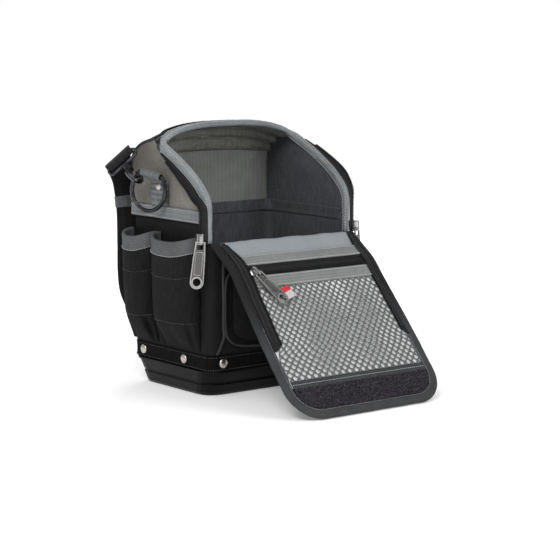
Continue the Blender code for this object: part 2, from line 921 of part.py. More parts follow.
def carry_ring(side, label):
    """Ring in its webbing loop; its origin is on the bar's axis."""
    centre, along, rise, outward = ring_frame()
    path = [mirrored(centre + along * a + rise * b - bar_centre(), side) for a, b in ring_path()]
    rail = stations(path, [mirrored(outward, side)] * len(path), closed=True)
    obj = sweep("carry_ring_" + label, rail, round_section(ring_wire), hook_metal, closed=True)
    obj.location = mirrored(bar_centre(), side)
    return obj


def ring_loop(side, label):
    """Webbing from the gusset up round the ring's bar and back down, riveted through."""
    _, along, rise, outward = ring_frame()
    bar = bar_centre()
    lift = loop_webbing_thickness / 2
    fold = ring_wire + loop_fold_clearance + lift
    wall_x = -half_width - loop_seat - lift
    inner = Vector((wall_x, loop_centre_y, side_band_bottom + side_band_height + seat_gap))
    knee = inner + up * loop_knee_level
    step_out = Vector((-2 * lift - seat_gap, 0, 0))
    outer_end = inner + step_out
    outer_knee = knee + step_out * 1.15 - up * (2 * lift)
    turn = half_turn(bar, -outward, rise, fold, share=1.35)
    path = [inner, knee] + turn + [outer_knee, outer_end]
    y_side = Vector((0, 1, 0))
    sides = [y_side, y_side] + [along] * len(turn) + [y_side, y_side]
    wide = loop_leg_width_share
    widths = [wide, wide] + [1.0] * len(turn) + [wide, wide]
    rail = stations([mirrored(p, side) for p in path], [mirrored(s, side) for s in sides])
    rail = [(point, across * width, thick) for (point, across, thick), width in zip(rail, widths)]
    obj = sweep("ring_loop_" + label, rail, bar_section(loop_webbing_width, loop_webbing_thickness), grey_webbing)
    spot = Vector((outer_end.x - lift, loop_centre_y, inner.z + loop_rivet_level - rivet_radius))
    rivets = rivet_heads("loop_rivet_" + label, [(mirrored(spot, side), Vector((side, 0, 0)))], rivet_radius * 0.8,
                         rivet_height * 0.7, loop_webbing_thickness * 0.6)
    join_by(obj, rivets, "UNION")
    return obj


def hook_frame():
    """Left snap hook: place of the ring's wire, direction to the strap, outward, and its pin axis."""
    centre, along, rise, outward = ring_frame()
    axis = along * math.cos(hook_place) + rise * math.sin(hook_place)
    return centre + axis * ring_radius, axis, outward, axis.cross(outward)


def hook_point(a, b):
    """Point of the left hook: a towards the strap, b outwards."""
    wire, axis, outward, _ = hook_frame()
    return wire + axis * a + outward * b


def hook_part(name, side, path, section, closed=False):
    """Bar of the hook swept along a path worked out for the left side."""
    pin = mirrored(hook_frame()[3], side)
    rail = stations([mirrored(p, side) for p in path], [pin] * len(path), closed)
    return sweep(name, rail, section, hook_metal, closed)


def snap_hook(side, label):
    """Hook body: from the swivel round the nose to where the gate closes."""
    w, nose, base = hook_half_width, hook_nose, hook_base
    knots = [(base, 0), (base * 0.93, w * 0.6), (base * 0.6, w), (0, w), (-nose * 0.68, w * 0.68), (-nose, 0.0),
             (-nose * 0.68, -w * 0.68), (-hook_bar * 0.3, -w)]
    path = smooth_path([hook_point(a, b) for a, b in knots], 3)
    obj = hook_part("snap_hook_" + label, side, path, bar_section(2.4 * hook_bar, 2 * hook_bar, 0.7))
    collar = [hook_point(base - hook_bar * 0.5, 0), hook_point(base + 1.2 * hook_bar, 0)]
    join_by(obj, hook_part("hook_collar_" + label, side, collar, round_section(barrel_radius, 10)), "UNION")
    ear = [hook_point(base, 0), hook_point(base - hook_bar * 0.6, -w * 0.62)]
    join_by(obj, hook_part("hook_ear_" + label, side, ear, bar_section(2 * hook_bar, 2 * hook_bar, 0.5)), "UNION")
    move_origin(obj, mirrored(hook_point(base, 0), side))
    return obj


def move_origin(obj, place):
    """Set an object's origin on its joint's axis without moving its shape."""
    obj.data.transform(Matrix.Translation(-place))
    obj.location = place


def hook_gate(side, label):
    """Gate bar that closes the hook's mouth, pivoting at the hook's base."""
    w = hook_half_width
    root = hook_base - hook_bar * 2.6
    path = [hook_point(a, -w) for a in (root, root * 0.5, hook_bar * 0.3)]
    obj = hook_part("hook_gate_" + label, side, path, bar_section(2 * gate_bar, 2 * gate_bar, 0.6))
    move_origin(obj, mirrored(hook_point(root, -w), side))
    return obj


def eye_directions():
    """Left strap eye: direction of its bar, and the strap's direction as it leaves the eye."""
    axis = hook_frame()[1]
    wide = Vector(strap_side_direction)
    wide = (wide - axis * wide.dot(axis)).normalized()
    leave = strap_route()[0][0] - hook_point(eye_place, 0)
    leave = (leave - wide * leave.dot(wide)).normalized()
    return wide, leave


def strap_eye(side, label):
    """Square eye that the strap passes through, with the swivel's barrel."""
    wide = eye_directions()[0]
    axis = hook_frame()[1]
    half = strap_width / 2 + eye_bar + loop_fold_clearance
    low = hook_base + 1.2 * hook_bar + seat_gap + barrel_length
    bar, near = hook_point(eye_place, 0), hook_point(low + eye_bar * 0.5, 0)
    square = [bar - wide * half, bar + wide * half, near + wide * half, near - wide * half]
    path = []
    for i, corner in enumerate(square):
        for other in (square[i - 1], square[(i + 1) % 4]):
            path.append(corner.lerp(other, eye_bar * 1.2 / (other - corner).length))
    normal = mirrored(wide.cross(axis), side)
    rail = stations([mirrored(p, side) for p in path], [normal] * len(path), closed=True)
    obj = sweep("strap_eye_" + label, rail, round_section(eye_bar), hook_metal, closed=True)
    barrel = [hook_point(low - barrel_length, 0), hook_point(low + eye_bar * 0.5, 0)]
    join_by(obj, hook_part("eye_barrel_" + label, side, barrel, round_section(barrel_radius, 10)), "UNION")
    return obj


# Shoulder strap: clipped to both rings and hanging behind the body

strap_route_shares = (
    (-1.175, 1.06, 0.866, (0.70, -0.30, 0.64)),
    (-1.040, 1.25, 0.834, (0.85, -0.05, 0.50)),
    (-0.930, 1.31, 0.762, (1.0, 0.0, 0.10)),
    (-0.895, 1.29, 0.650, (1.0, 0.0, 0.0)),
    (-0.905, 1.26, 0.525, (1.0, 0.0, 0.0)),
    (-0.915, 1.24, 0.420, (1.0, 0.0, 0.03)),
    (-0.880, 1.24, 0.340, (0.94, 0.0, 0.35)),
    (-0.740, 1.24, 0.268, (0.70, 0.0, 0.71)),
    (-0.500, 1.25, 0.235, (0.28, 0.0, 0.96)),
    (-0.250, 1.26, 0.225, (0.08, 0.0, 1.0)),
)
hood_peak = hood_top_z + hood_crown


def strap_route():
    """Points and width directions of the strap's left half, from the eye to the middle."""
    return [
        (Vector((x * half_width, y * half_depth, z * hood_peak)), Vector(side).normalized())
        for x, y, z, side in strap_route_shares
    ]


def shoulder_strap():
    """One strap with a sewn fold round each eye."""
    wide, leave = eye_directions()
    flat = leave.cross(wide).normalized()
    if flat.dot(hook_frame()[1]) > 0:
        flat = -flat
    eye = hook_point(eye_place, 0)
    radius = eye_bar + loop_fold_clearance + strap_thickness / 2
    fold = half_turn(eye, -flat, -leave, radius)
    tail = fold[0] + leave * strap_tail
    start = fold[-1] + leave * radius
    route = [(start, wide)] + strap_route()
    middle = (Vector((0, route[-1][0].y, route[-1][0].z)), up)
    knots = [p for p, _ in route] + [middle[0]] + [Vector((-p.x, p.y, p.z)) for p, _ in reversed(route)]
    turns = [w for _, w in route] + [middle[1]] + [Vector((-w.x, w.y, w.z)) for _, w in reversed(route)]
    steps = 4
    body = smooth_path(knots, steps)
    sides = []
    for i in range(len(body)):
        leg = min(i // steps, len(turns) - 2)
        sides.append(turns[leg].lerp(turns[leg + 1], i / steps - leg))
    far = [mirrored(p, RIGHT) for p in reversed([tail] + fold)]
    path = [tail] + fold + body + far
    ending = Vector((-wide.x, wide.y, wide.z))
    sides = [wide] * (len(fold) + 1) + sides + [ending] * (len(fold) + 1)
    return sweep("shoulder_strap", stations(path, sides), bar_section(strap_width, strap_thickness), black_webbing)


for side, label in SIDES:
    ring_loop(side, label)
    carry_ring(side, label)
    snap_hook(side, label)
    hook_gate(side, label)
    strap_eye(side, label)
shoulder_strap()


# Carry handle on two webbing anchors on the upper back

handle_pin_y = half_depth + handle_grip_radius + 2 * turning_gap


def carry_handle():
    """Grip that hangs down behind the body; its ends turn in the anchors."""
    half = handle_span / 2
    arm = handle_pin_radius
    knots = [
        (half - anchor_width * 1.5, 0.0), (half - anchor_width * 0.2, 0.0), (half + arm * 0.6, -arm * 1.2),
        (half + arm, -handle_drop * 0.35), (half - arm, -handle_drop * 0.72), (half * 0.72, -handle_drop),
        (half * 0.36, -handle_drop * 1.08),
    ]
    side_path = [Vector((-x, 0, z)) for x, z in knots]
    path = side_path + [Vector((0, 0, -handle_drop * 1.1))] + [Vector((-p.x, 0, p.z)) for p in reversed(side_path)]
    path = resample(smooth_path(path, 5), 44)
    rail = stations(path, [Vector((0, 1, 0))] * len(path))
    rings = []
    for point, wide, thick in rail:
        grip = max(0.0, min(1.0, (-point.z - handle_drop * 0.55) / (handle_drop * 0.25)))
        radius = handle_pin_radius + (handle_grip_radius - handle_pin_radius) * grip
        rings.append([point + a * wide + b * thick for a, b in round_section(radius)])
    obj = loft("carry_handle", rings, grip_rubber)
    obj.location = (0, handle_pin_y, handle_level)
    return obj


def handle_anchor(side, label):
    """Webbing folded round the handle's end and sewn to the back."""
    lift = loop_webbing_thickness / 2
    radius = handle_pin_radius + loop_fold_clearance + lift
    x = side * (handle_span / 2 - anchor_width * 0.85)
    pin = Vector((x, handle_pin_y, handle_level))
    inner_y = half_depth + seat_gap + lift
    outer_y = inner_y + 2 * lift + seat_gap
    back = Vector((0, -1, 0))
    top = handle_level + anchor_height * 0.75
    path = [Vector((x, inner_y, top)), Vector((x, inner_y, handle_level + 2 * radius))]
    path += half_turn(pin, back, -up, radius, share=1.28)
    path += [Vector((x, outer_y, handle_level + radius * 2.6)), Vector((x, outer_y, top))]
    return strip("handle_anchor_" + label, path, (1, 0, 0), anchor_width, loop_webbing_thickness, black_webbing)


carry_handle()
for side, label in SIDES:
    handle_anchor(side, label)


# Outer pockets

def pocket_point(side, front, back, stand_off, turn, height, bulge):
    """Point of a pocket's wall: turn runs round the pocket from its front seam to its back seam."""
    middle, half = (front + back) / 2, (back - front) / 2 + stand_off
    reach = bulge + stand_off
    power = 2 / pocket_power
    across = -math.copysign(abs(math.cos(turn)) ** power, math.cos(turn))
    out = abs(math.sin(turn)) ** power
    x = half_width + seat_gap + reach * out
    return Vector((side * x, middle + half * across, height))


def pocket_bulge_at(height):
    """How far a pocket stands out at a height: drawn in at its foot, full above."""
    share = (height - pocket_floor) / ((pocket_top - pocket_floor) * pocket_full_share)
    share = max(0.0, min(1.0, share))
    ease = math.sin(share * math.pi / 2)
    return pocket_foot_bulge + (pocket_bulge - pocket_foot_bulge) * ease


def pocket_rim(turn):
    """Height of a pocket's rim, lowest at the middle of its bulge."""
    return pocket_top - pocket_dip * math.sin(turn) ** 2


def side_pocket(name, side, front, back, columns):
    """Pocket wall sewn to the shell along its sides and foot, open at the top."""
    def wall(stand_off):
        def place(u, v):
            turn = math.pi * u
            height = pocket_floor + (pocket_rim(turn) - pocket_floor) * v ** 1.35
            return pocket_point(side, front, back, stand_off, turn, height, pocket_bulge_at(height))
        return place

    return skin(name, columns, 8, wall(0.0), wall(-pocket_thickness), black_fabric)


def pocket_binding(name, side, front, back, columns):
    """Sewn band round the outside of a pocket's rim."""
    def wall(stand_off):
        def place(u, v):
            turn = math.pi * u
            height = pocket_rim(turn) + seat_gap - pocket_binding_height * (1 - v)
            return pocket_point(side, front, back, stand_off, turn, height, pocket_bulge)
        return place

    outer = wall(seat_gap + pocket_binding_thickness)
    return skin(name, columns, 1, outer, wall(seat_gap), grey_webbing)


narrow_pocket_back = half_depth - narrow_pocket_margin
narrow_pocket_front = narrow_pocket_back - narrow_pocket_width
wide_pocket_back = narrow_pocket_front - pocket_spacing
wide_pocket_front = -half_depth + wide_pocket_margin
pocket_places = (
    ("wide", wide_pocket_front, wide_pocket_back, 16),
    ("narrow", narrow_pocket_front, narrow_pocket_back, 14),
)
for side, label in SIDES:
    for kind, front, back, columns in pocket_places:
        side_pocket("pocket_" + kind + "_" + label, side, front, back, columns)
        pocket_binding("pocket_binding_" + kind + "_" + label, side, front, back, columns)


# Inside: a divider standing on the floor board, with tool pockets on its front

divider_foot_half = board_width / 2 - board_margin
divider_half = half_width - shell_wall - tub_wall - divider_margin
divider_bottom = board_top + seat_gap
divider_top = divider_bottom + divider_height


def across_panel(name, outline, middle_y, thickness, spec):
    """Upright panel across the bag from its outline in (x, z)."""
    frame = Matrix(((1, 0, 0, 0), (0, 0, -1, middle_y), (0, 1, 0, 0), (0, 0, 0, 1)))
    return plate(name, outline, [], thickness, frame, spec)


across_panel(
    "inner_divider",
    [
        (-divider_foot_half, divider_bottom), (divider_foot_half, divider_bottom), (divider_half, flange_top),
        (divider_half, divider_top), (-divider_half, divider_top), (-divider_half, flange_top),
    ],
    divider_place, divider_thickness, hem_fabric,
)
binding_low = divider_top + seat_gap
binding_path = [Vector((x, divider_place, binding_low + divider_binding_height / 2)) for x in (-divider_half, divider_half)]
strip("divider_binding", binding_path, (0, 0, 1), divider_binding_height, divider_thickness * 1.4, grey_webbing, 0.5)


def tool_pockets():
    """Row of upright sleeves: one waved panel sewn to the divider between them."""
    front_y = divider_place - divider_thickness / 2 - seat_gap
    bottom = divider_bottom + tool_pocket_lift
    half = divider_foot_half

    def wall(stand_off):
        def place(u, v):
            wave = abs(math.sin(math.pi * tool_pocket_count * u)) ** 0.7
            reach = stand_off + tool_pocket_bulge * wave * (0.55 + 0.45 * v)
            return Vector((half * (2 * u - 1), front_y - reach, bottom + tool_pocket_height * v))
        return place

    columns = 10 * tool_pocket_count
    return skin("inner_tool_pockets", columns, 3, wall(tool_pocket_thickness), wall(0.0), hem_fabric)


tool_pockets()


# Flap: three panels hinged in a row, each in its own frame of (across, along, inner face)

def flap_frames():
    """Empties on the three hinge lines, each turned so that y runs down the flap."""
    root = bpy.data.objects.new("flap_hinge", None)
    root.location = (0, -half_depth - flap_hinge_forward, front_height)
    root.rotation_euler = (-flap_lower_droop, 0, math.pi)
    middle = bpy.data.objects.new("flap_middle_hinge", None)
    middle.location = (0, flap_lower_length, 0)
    middle.rotation_euler = (-(flap_middle_droop - flap_lower_droop), 0, 0)
    middle.parent = root
    tip = bpy.data.objects.new("flap_tip_hinge", None)
    tip.location = (0, flap_middle_length, 0)
    tip.rotation_euler = (-(flap_tip_droop - flap_middle_droop), 0, 0)
    tip.parent = middle
    for empty in (root, middle, tip):
        bpy.context.collection.objects.link(empty)
    return root, middle, tip


flap_lower, flap_middle, flap_tip = flap_frames()


def on_flap(obj, empty):
    """Hang a piece on one of the flap's hinge frames."""
    obj.parent = empty
    return obj


def panel_rings(places, half_outer, edge_width):
    """Cross sections of a panel with thicker sewn edges, at (distance, half thickness, edge half)."""
    rings = []
    for distance, thin, thick, outer in places:
        inner = half_outer - edge_width
        c = thick * 0.35
        upper = [(-outer, thick - c), (-outer + c, thick), (-inner, thick), (-inner, thin),
                 (inner, thin), (inner, thick), (outer - c, thick), (outer, thick - c)]
        lower = [(x, -n) for x, n in reversed(upper)]
        rings.append([Vector((x, distance, n)) for x, n in upper + lower])
    return rings


thin = flap_thickness / 2
thick = flap_edge_thickness / 2
lower_places = [
    (-hinge_overlap, thin * 0.8, thin * 0.8 + crease_gap, half_flap),
    (hinge_run, thin, thick, half_flap),
    (flap_lower_length - crease_run, thin, thick, half_flap),
    (flap_lower_length - crease_gap, crease_half, crease_half + crease_gap / 2, half_flap),
]
on_flap(loft("flap_lower_panel", panel_rings(lower_places, half_flap, flap_edge_width), black_fabric), flap_lower)


def flap_strip(name, empty, start, end, half, base, thickness, spec, chamfer_share=0.3):
    """Band lying across the flap's inner face."""
    middle, width = (start + end) / 2, end - start
    path = [Vector((x, middle, base + thickness / 2)) for x in (-half, half)]
    return on_flap(strip(name, path, (0, 1, 0), width, thickness, spec, chamfer_share), empty)


flap_inside_half = half_flap - flap_edge_width - seat_gap
inner_face = thin + seat_gap
flap_strip("flap_webbing", flap_lower, flap_webbing_start, flap_webbing_end, flap_inside_half, inner_face,
           webbing_thickness, grey_webbing)
upper_tape_end = flap_lower_length - crease_run - seat_gap
flap_strip("pocket_zip_upper", flap_lower, pocket_zip_start, upper_tape_end, flap_inside_half, inner_face,
           webbing_thickness, zip_black)

middle_inner_half = half_flap - flap_edge_width
end = flap_middle_length
panel_section = [
    (crease_gap, crease_half), (crease_run, thin), (end - crease_run, thin), (end - crease_gap, crease_half),
]


def slab(name, sections, half_low, half_high, spec, empty):
    """Panel lofted along the flap from (distance, half thickness) pairs."""
    rings = [
        [Vector((half_low, s, -h)), Vector((half_high, s, -h)), Vector((half_high, s, h)), Vector((half_low, s, h))]
        for s, h in sections
    ]
    return on_flap(loft(name, rings, spec), empty)


slab("flap_middle_panel", panel_section, -middle_inner_half + seat_gap, middle_inner_half - seat_gap, black_fabric,
     flap_middle)
edge_section = [(crease_gap, crease_half), (crease_run, thick), (end - crease_run, thick), (end - crease_gap, crease_half)]


def edge_bar(side, label):
    """Bound edge of the middle panel."""
    low, high = sorted((side * middle_inner_half, side * half_flap))
    c = thick * 0.4
    rings = []
    for s, h in edge_section:
        k = min(c, h * 0.4)
        rings.append([Vector(p) for p in (
            (low, s, -h + k), (low + k, s, -h), (high - k, s, -h), (high, s, -h + k),
            (high, s, h - k), (high - k, s, h), (low + k, s, h), (low, s, h - k))])
    return on_flap(loft("flap_edge_" + label, rings, hem_fabric), flap_middle)


def flap_zip(side, label):
    """Flap's half of the main zip, sewn inboard of its bound edge and ending in a small curve."""
    x = side * (middle_inner_half - tape_width / 2 - seat_gap - bead_width)
    base = inner_face + webbing_thickness / 2
    lean = tape_width * 0.35
    path = [Vector((x, flap_zip_start, base)), Vector((x, flap_zip_end - tape_width, base)),
            Vector((x + side * lean * 0.3, flap_zip_end - tape_width * 0.4, base)),
            Vector((x + side * lean, flap_zip_end, base))]
    obj = strip("flap_zip_" + label, path, (1, 0, 0), tape_width, webbing_thickness, zip_black)
    return on_flap(obj, flap_middle)


for side, label in SIDES:
    edge_bar(side, label)
    flap_zip(side, label)

pocket_half = middle_inner_half - net_side_margin
net_start = pocket_webbing_start + pocket_webbing_width + seat_gap
net_length = flap_middle_length - net_start - net_end_margin
zip_half = flap_inside_half - tape_width - 2 * bead_width
flap_strip("pocket_zip_lower", flap_middle, pocket_zip_drop, pocket_webbing_start - seat_gap, pocket_half - tape_width,
           inner_face, webbing_thickness, zip_black)
flap_strip("pocket_webbing", flap_middle, pocket_webbing_start, pocket_webbing_start + pocket_webbing_width,
           pocket_half - tape_width, inner_face, webbing_thickness * 1.6, grey_webbing)


def net_face(x, y):
    """Height of the net above the panel: sewn down round its border, slack in the middle."""
    u = x / (pocket_half - tape_width)
    v = (y - net_start) / net_length
    return inner_face + net_bulge * max(0.0, (1 - u * u)) * math.sin(math.pi * min(1.0, max(0.0, v))) ** 0.8


def mesh_pocket():
    """Net of diamond holes: diamonds are inset one by one, and their middles are taken out."""
    half = pocket_half - tape_width
    columns, rows = net_columns, net_rows
    bm = bmesh.new()
    corner = {}
    for i in range(2 * columns + 1):
        for j in range(2 * rows + 1):
            if (i + j) % 2 == 0 or i in (0, 2 * columns) and j in (0, 2 * rows):
                x = half * (i / columns - 1)
                y = net_start + net_length * j / (2 * rows)
                corner[i, j] = bm.verts.new((x, y, 0))
    diamonds = []
    for i in range(2 * columns + 1):
        for j in range(2 * rows + 1):
            if (i + j) % 2 == 0:
                continue
            around = [corner.get(key) for key in ((i - 1, j), (i, j - 1), (i + 1, j), (i, j + 1))]
            around = [vert for vert in around if vert]
            if len(around) == 4:
                diamonds.append(bm.faces.new(around))
            elif len(around) == 3:
                bm.faces.new(around)
    bm.normal_update()
    bmesh.ops.inset_individual(bm, faces=diamonds, thickness=net_strand / 2)
    bmesh.ops.delete(bm, geom=diamonds, context="FACES")
    for vert in bm.verts:
        vert.co.z = net_face(vert.co.x, vert.co.y)
    for face in bm.faces:
        face.normal_update()
        if face.normal.z < 0:
            face.normal_flip()
    obj = add_object("mesh_pocket", bm, net_fabric, closed=False)
    wall = obj.modifiers.new("wall", "SOLIDIFY")
    wall.thickness = net_thickness
    wall.offset = 1
    return on_flap(obj, flap_middle)


mesh_pocket()


def tip_outline(inset):
    """Outline of the tip panel with round corners, in (across, along)."""
    half = half_flap - inset
    low = crease_run
    far = flap_tip_length - inset
    radius = flap_corner - inset
    points = [(-half, low), (half, low)]
    for i in range(corner_steps + 4):
        turn = math.pi / 2 * i / (corner_steps + 3)
        points.append((half - radius + radius * math.cos(turn), far - radius + radius * math.sin(turn)))
    for i in range(corner_steps + 4):
        turn = math.pi / 2 * (1 + i / (corner_steps + 3))
        points.append((-half + radius + radius * math.cos(turn), far - radius + radius * math.sin(turn)))
    return points


def tip_panel():
    """Tip of the flap: a thin panel that thins to the crease, inside its bound edge."""
    inset = flap_edge_width + seat_gap
    outline = tip_outline(inset)
    bm = bmesh.new()
    layers = []
    for n in (-thin, thin):
        layers.append([bm.verts.new((x, y, n)) for x, y in outline])
    crease = [bm.verts.new((x, crease_gap, n)) for n in (-crease_half, crease_half) for x in (outline[0][0], outline[1][0])]
    low, high = layers
    count = len(outline)
    bm.faces.new(reversed(low))
    bm.faces.new(high)
    for i in range(1, count):
        j = (i + 1) % count
        bm.faces.new((low[i], low[j], high[j], high[i]))
    bm.faces.new((crease[0], crease[1], low[1], low[0]))
    bm.faces.new((high[0], high[1], crease[3], crease[2]))
    bm.faces.new((crease[2], crease[3], crease[1], crease[0]))
    bm.faces.new((low[0], high[0], crease[2], crease[0]))
    bm.faces.new((crease[1], crease[3], high[1], low[1]))
    return on_flap(add_object("flap_tip_panel", bm, black_fabric), flap_tip)


def tip_edge():
    """Bound edge round the flap's tip, one piece from crease to crease."""
    middle = tip_outline(flap_edge_width / 2)
    loop = middle[1:] + middle[:1]
    path = [Vector((x, y, 0)) for x, y in loop]
    start, finish_point = path[0].copy(), path[-1].copy()
    start.y = finish_point.y = crease_gap
    sides = []
    inner = tip_outline(flap_edge_width)
    inner = inner[1:] + inner[:1]
    for point, (x, y) in zip(path, inner):
        sides.append((Vector((x, y, 0)) - point).normalized())
    path = [start] + path + [finish_point]
    sides = [sides[0]] + sides + [sides[-1]]
    rail = stations(path, sides)
    rings = []
    for i, (point, wide, up_dir) in enumerate(rail):
        half = crease_half if i in (0, len(rail) - 1) else thick
        section = bar_section(flap_edge_width, 2 * half, 0.4)
        rings.append([point + a * wide + b * up_dir for a, b in section])
    return on_flap(loft("flap_tip_edge", rings, hem_fabric), flap_tip)


tip_panel()
tip_edge()


def loop_strip():
    """Loop pile across the tip, cut to follow its round corners."""
    inset = flap_edge_width + 2 * seat_gap
    outline = [(x, y) for x, y in tip_outline(inset)]
    near = [(outline[0][0], loop_strip_start), (outline[1][0], loop_strip_start)]
    kept = near + [(x, min(y, loop_strip_end)) for x, y in outline[2:]]
    frame = Matrix.Translation((0, 0, inner_face + loop_strip_thickness / 2))
    return on_flap(plate("flap_loop_strip", kept, [], loop_strip_thickness, frame, loop_pile), flap_tip)


loop_strip()


# Pocket zip slider, at the left end of the pocket zip, with its puller lying on the net

def pocket_slider():
    """Block slider straddling the pocket zip, with its bridge turned towards the puller."""
    base = inner_face + webbing_thickness + seat_gap
    height = slider_face
    half_long, half_wide = slider_length / 2, slider_length / 3
    rings = []
    for rise, cut in ((0.0, 0.0), (0.7, 0.0), (1.0, 0.18)):
        outline = rounded_rect(2 * half_long * (1 - cut), 2 * half_wide * (1 - cut), half_wide * 0.5, 3)
        rings.append([Vector((x, y, rise * height)) for x, y in outline])
    body = loft("pocket_slider", rings, nickel)
    frame = Matrix.Rotation(pocket_puller_turn, 4, "Z")
    frame.translation = (0, 0, height)
    join_by(body, bridge_helper("pocket_slider_bridge", frame), "UNION")
    bridge = body.modifiers[-1].object
    body.location = (pocket_slider_side, pocket_slider_drop, base)
    bridge.location = body.location
    on_flap(body, flap_middle)
    on_flap(bridge, flap_middle)
    pivot = Vector((pocket_slider_side, pocket_slider_drop, base + height + bridge_rise / 2))
    plate_body = puller("pocket_puller", Matrix.Identity(4))
    turned = Matrix.Rotation(pocket_puller_turn, 4, "Z") @ Matrix.Rotation(math.pi, 4, "Z")
    pivot += turned.to_3x3() @ Vector((0, -puller_seat, 0))
    turned = turned @ Matrix.Rotation(pocket_puller_pitch, 4, "X")
    plate_body.matrix_local = Matrix.Translation(pivot) @ turned
    on_flap(plate_body, flap_middle)
    return body


pocket_slider()


# Hook strip on the hood, where the closed flap's tip fastens

def hook_strip():
    """Strip that follows the hood's curve from side to side."""
    half = hook_strip_width / 2
    front_y = hood_front_y + 2 * binding_depth

    def place(u, v):
        x = half * (2 * u - 1)
        y = front_y + hook_strip_length * v
        return Vector((x, y, hood_surface(x, y) + seat_gap * 2))

    return sheet("hood_hook_strip", 12, 4, place, hook_strip_thickness, loop_pile, side=1)


def hood_surface(x, y):
    """Height of the hood's outer face at a place on its top."""
    front_y = hood_front_y + binding_depth + seat_gap
    curve = [p for p in hood_back_curve if p.y < half_depth] + [Vector((0, front_y, hood_top_z))]
    low_z = hood_back_curve[0].z
    for a, b in zip(curve, curve[1:]):
        if b.y <= y <= a.y:
            z = a.z + (b.z - a.z) * (y - a.y) / (b.y - a.y)
            lift = min(1.0, max(0.0, (z - low_z) / (hood_top_z - low_z) - 0.6) / 0.35)
            return z + lift * crown_at(x, half_width)
    return hood_top_z


hook_strip()
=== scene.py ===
# %% [markdown]
# # A compact hooded tool bag
# The bag is sewn cloth on a moulded tub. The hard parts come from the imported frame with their
# real sizes. This lesson gives them their finish and sews the soft parts round them: shell,
# pockets, hood, webbing and the open front flap with its net pocket.

# %% Load the frame
import json
import math

import bpy
import numpy as np
from mathutils import Matrix, Vector, noise

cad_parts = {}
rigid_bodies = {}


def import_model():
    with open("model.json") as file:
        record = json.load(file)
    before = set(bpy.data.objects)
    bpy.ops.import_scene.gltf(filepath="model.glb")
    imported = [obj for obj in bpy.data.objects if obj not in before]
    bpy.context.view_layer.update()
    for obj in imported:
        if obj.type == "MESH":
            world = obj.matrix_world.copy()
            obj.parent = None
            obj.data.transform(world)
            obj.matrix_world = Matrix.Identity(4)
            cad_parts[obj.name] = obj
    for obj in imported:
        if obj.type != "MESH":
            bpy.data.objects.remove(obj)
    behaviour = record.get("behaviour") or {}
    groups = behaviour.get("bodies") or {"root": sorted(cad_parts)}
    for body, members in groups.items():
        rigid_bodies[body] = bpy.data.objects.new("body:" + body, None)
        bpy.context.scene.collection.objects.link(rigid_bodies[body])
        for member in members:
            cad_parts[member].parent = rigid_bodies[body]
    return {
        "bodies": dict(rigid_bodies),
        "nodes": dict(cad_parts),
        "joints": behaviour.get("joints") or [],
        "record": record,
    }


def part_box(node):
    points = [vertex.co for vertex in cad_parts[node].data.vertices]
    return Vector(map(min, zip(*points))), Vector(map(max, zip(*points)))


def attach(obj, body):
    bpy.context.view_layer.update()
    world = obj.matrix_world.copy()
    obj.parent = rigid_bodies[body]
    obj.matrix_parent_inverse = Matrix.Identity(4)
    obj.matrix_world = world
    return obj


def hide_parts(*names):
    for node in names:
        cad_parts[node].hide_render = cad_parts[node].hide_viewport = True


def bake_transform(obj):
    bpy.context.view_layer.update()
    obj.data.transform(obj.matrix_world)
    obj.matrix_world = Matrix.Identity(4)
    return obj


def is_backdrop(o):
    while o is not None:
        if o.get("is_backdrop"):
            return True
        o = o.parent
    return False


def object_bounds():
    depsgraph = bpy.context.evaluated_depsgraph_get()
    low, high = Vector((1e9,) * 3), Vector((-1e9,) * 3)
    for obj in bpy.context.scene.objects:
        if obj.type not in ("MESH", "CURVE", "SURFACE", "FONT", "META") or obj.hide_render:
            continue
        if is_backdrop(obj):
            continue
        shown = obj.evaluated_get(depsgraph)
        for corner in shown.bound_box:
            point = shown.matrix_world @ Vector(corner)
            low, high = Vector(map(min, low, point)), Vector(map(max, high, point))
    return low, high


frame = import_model()
nodes = frame["nodes"]
joints = {joint["name"]: joint for joint in frame["joints"]}
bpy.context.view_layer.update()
bpy.ops.object.select_all(action="DESELECT")

SIDES = ((-1, "left"), (1, "right"))
MM = 0.001

# %% [markdown]
# The camera stands where the photographer stood: a little above the bag, to its left, with a long
# lens. A long lens keeps the bag's upright edges almost parallel.

# %% Camera
camera_data = bpy.data.cameras.new("camera")
camera_data.sensor_width = 36
camera_data.lens = 122.1
camera = bpy.data.objects.new("camera", camera_data)
bpy.context.scene.collection.objects.link(camera)
camera.location = (-1.3706, -1.8312, 0.4468)
camera_aim = Vector((0.6095, 0.7801, -0.1409))
camera.rotation_mode = "QUATERNION"
camera.rotation_quaternion = camera_aim.to_track_quat("-Z", "Y")
bpy.context.scene.camera = camera
bpy.context.scene.view_settings.view_transform = "Standard"
print("lens", camera_data.lens, "mm")


# %% [markdown]
# A material is a small program. Writing its sums as Python keeps them readable, so one class wraps
# a socket and turns +, - and * into Math nodes. A second class makes every other node.

# %% Shader helpers
class Wire:
    """A value on its way through a material's nodes."""

    def __init__(self, finish, socket):
        self.finish = finish
        self.socket = socket

    def math(self, operation, *others):
        return self.finish.node("ShaderNodeMath", {"operation": operation}, self, *others)

    def __add__(self, other):
        return self.math("ADD", other)

    __radd__ = __add__

    def __mul__(self, other):
        return self.math("MULTIPLY", other)

    __rmul__ = __mul__

    def __sub__(self, other):
        return self.math("SUBTRACT", other)

    def __rsub__(self, other):
        return self.finish.node("ShaderNodeMath", {"operation": "SUBTRACT"}, other, self)


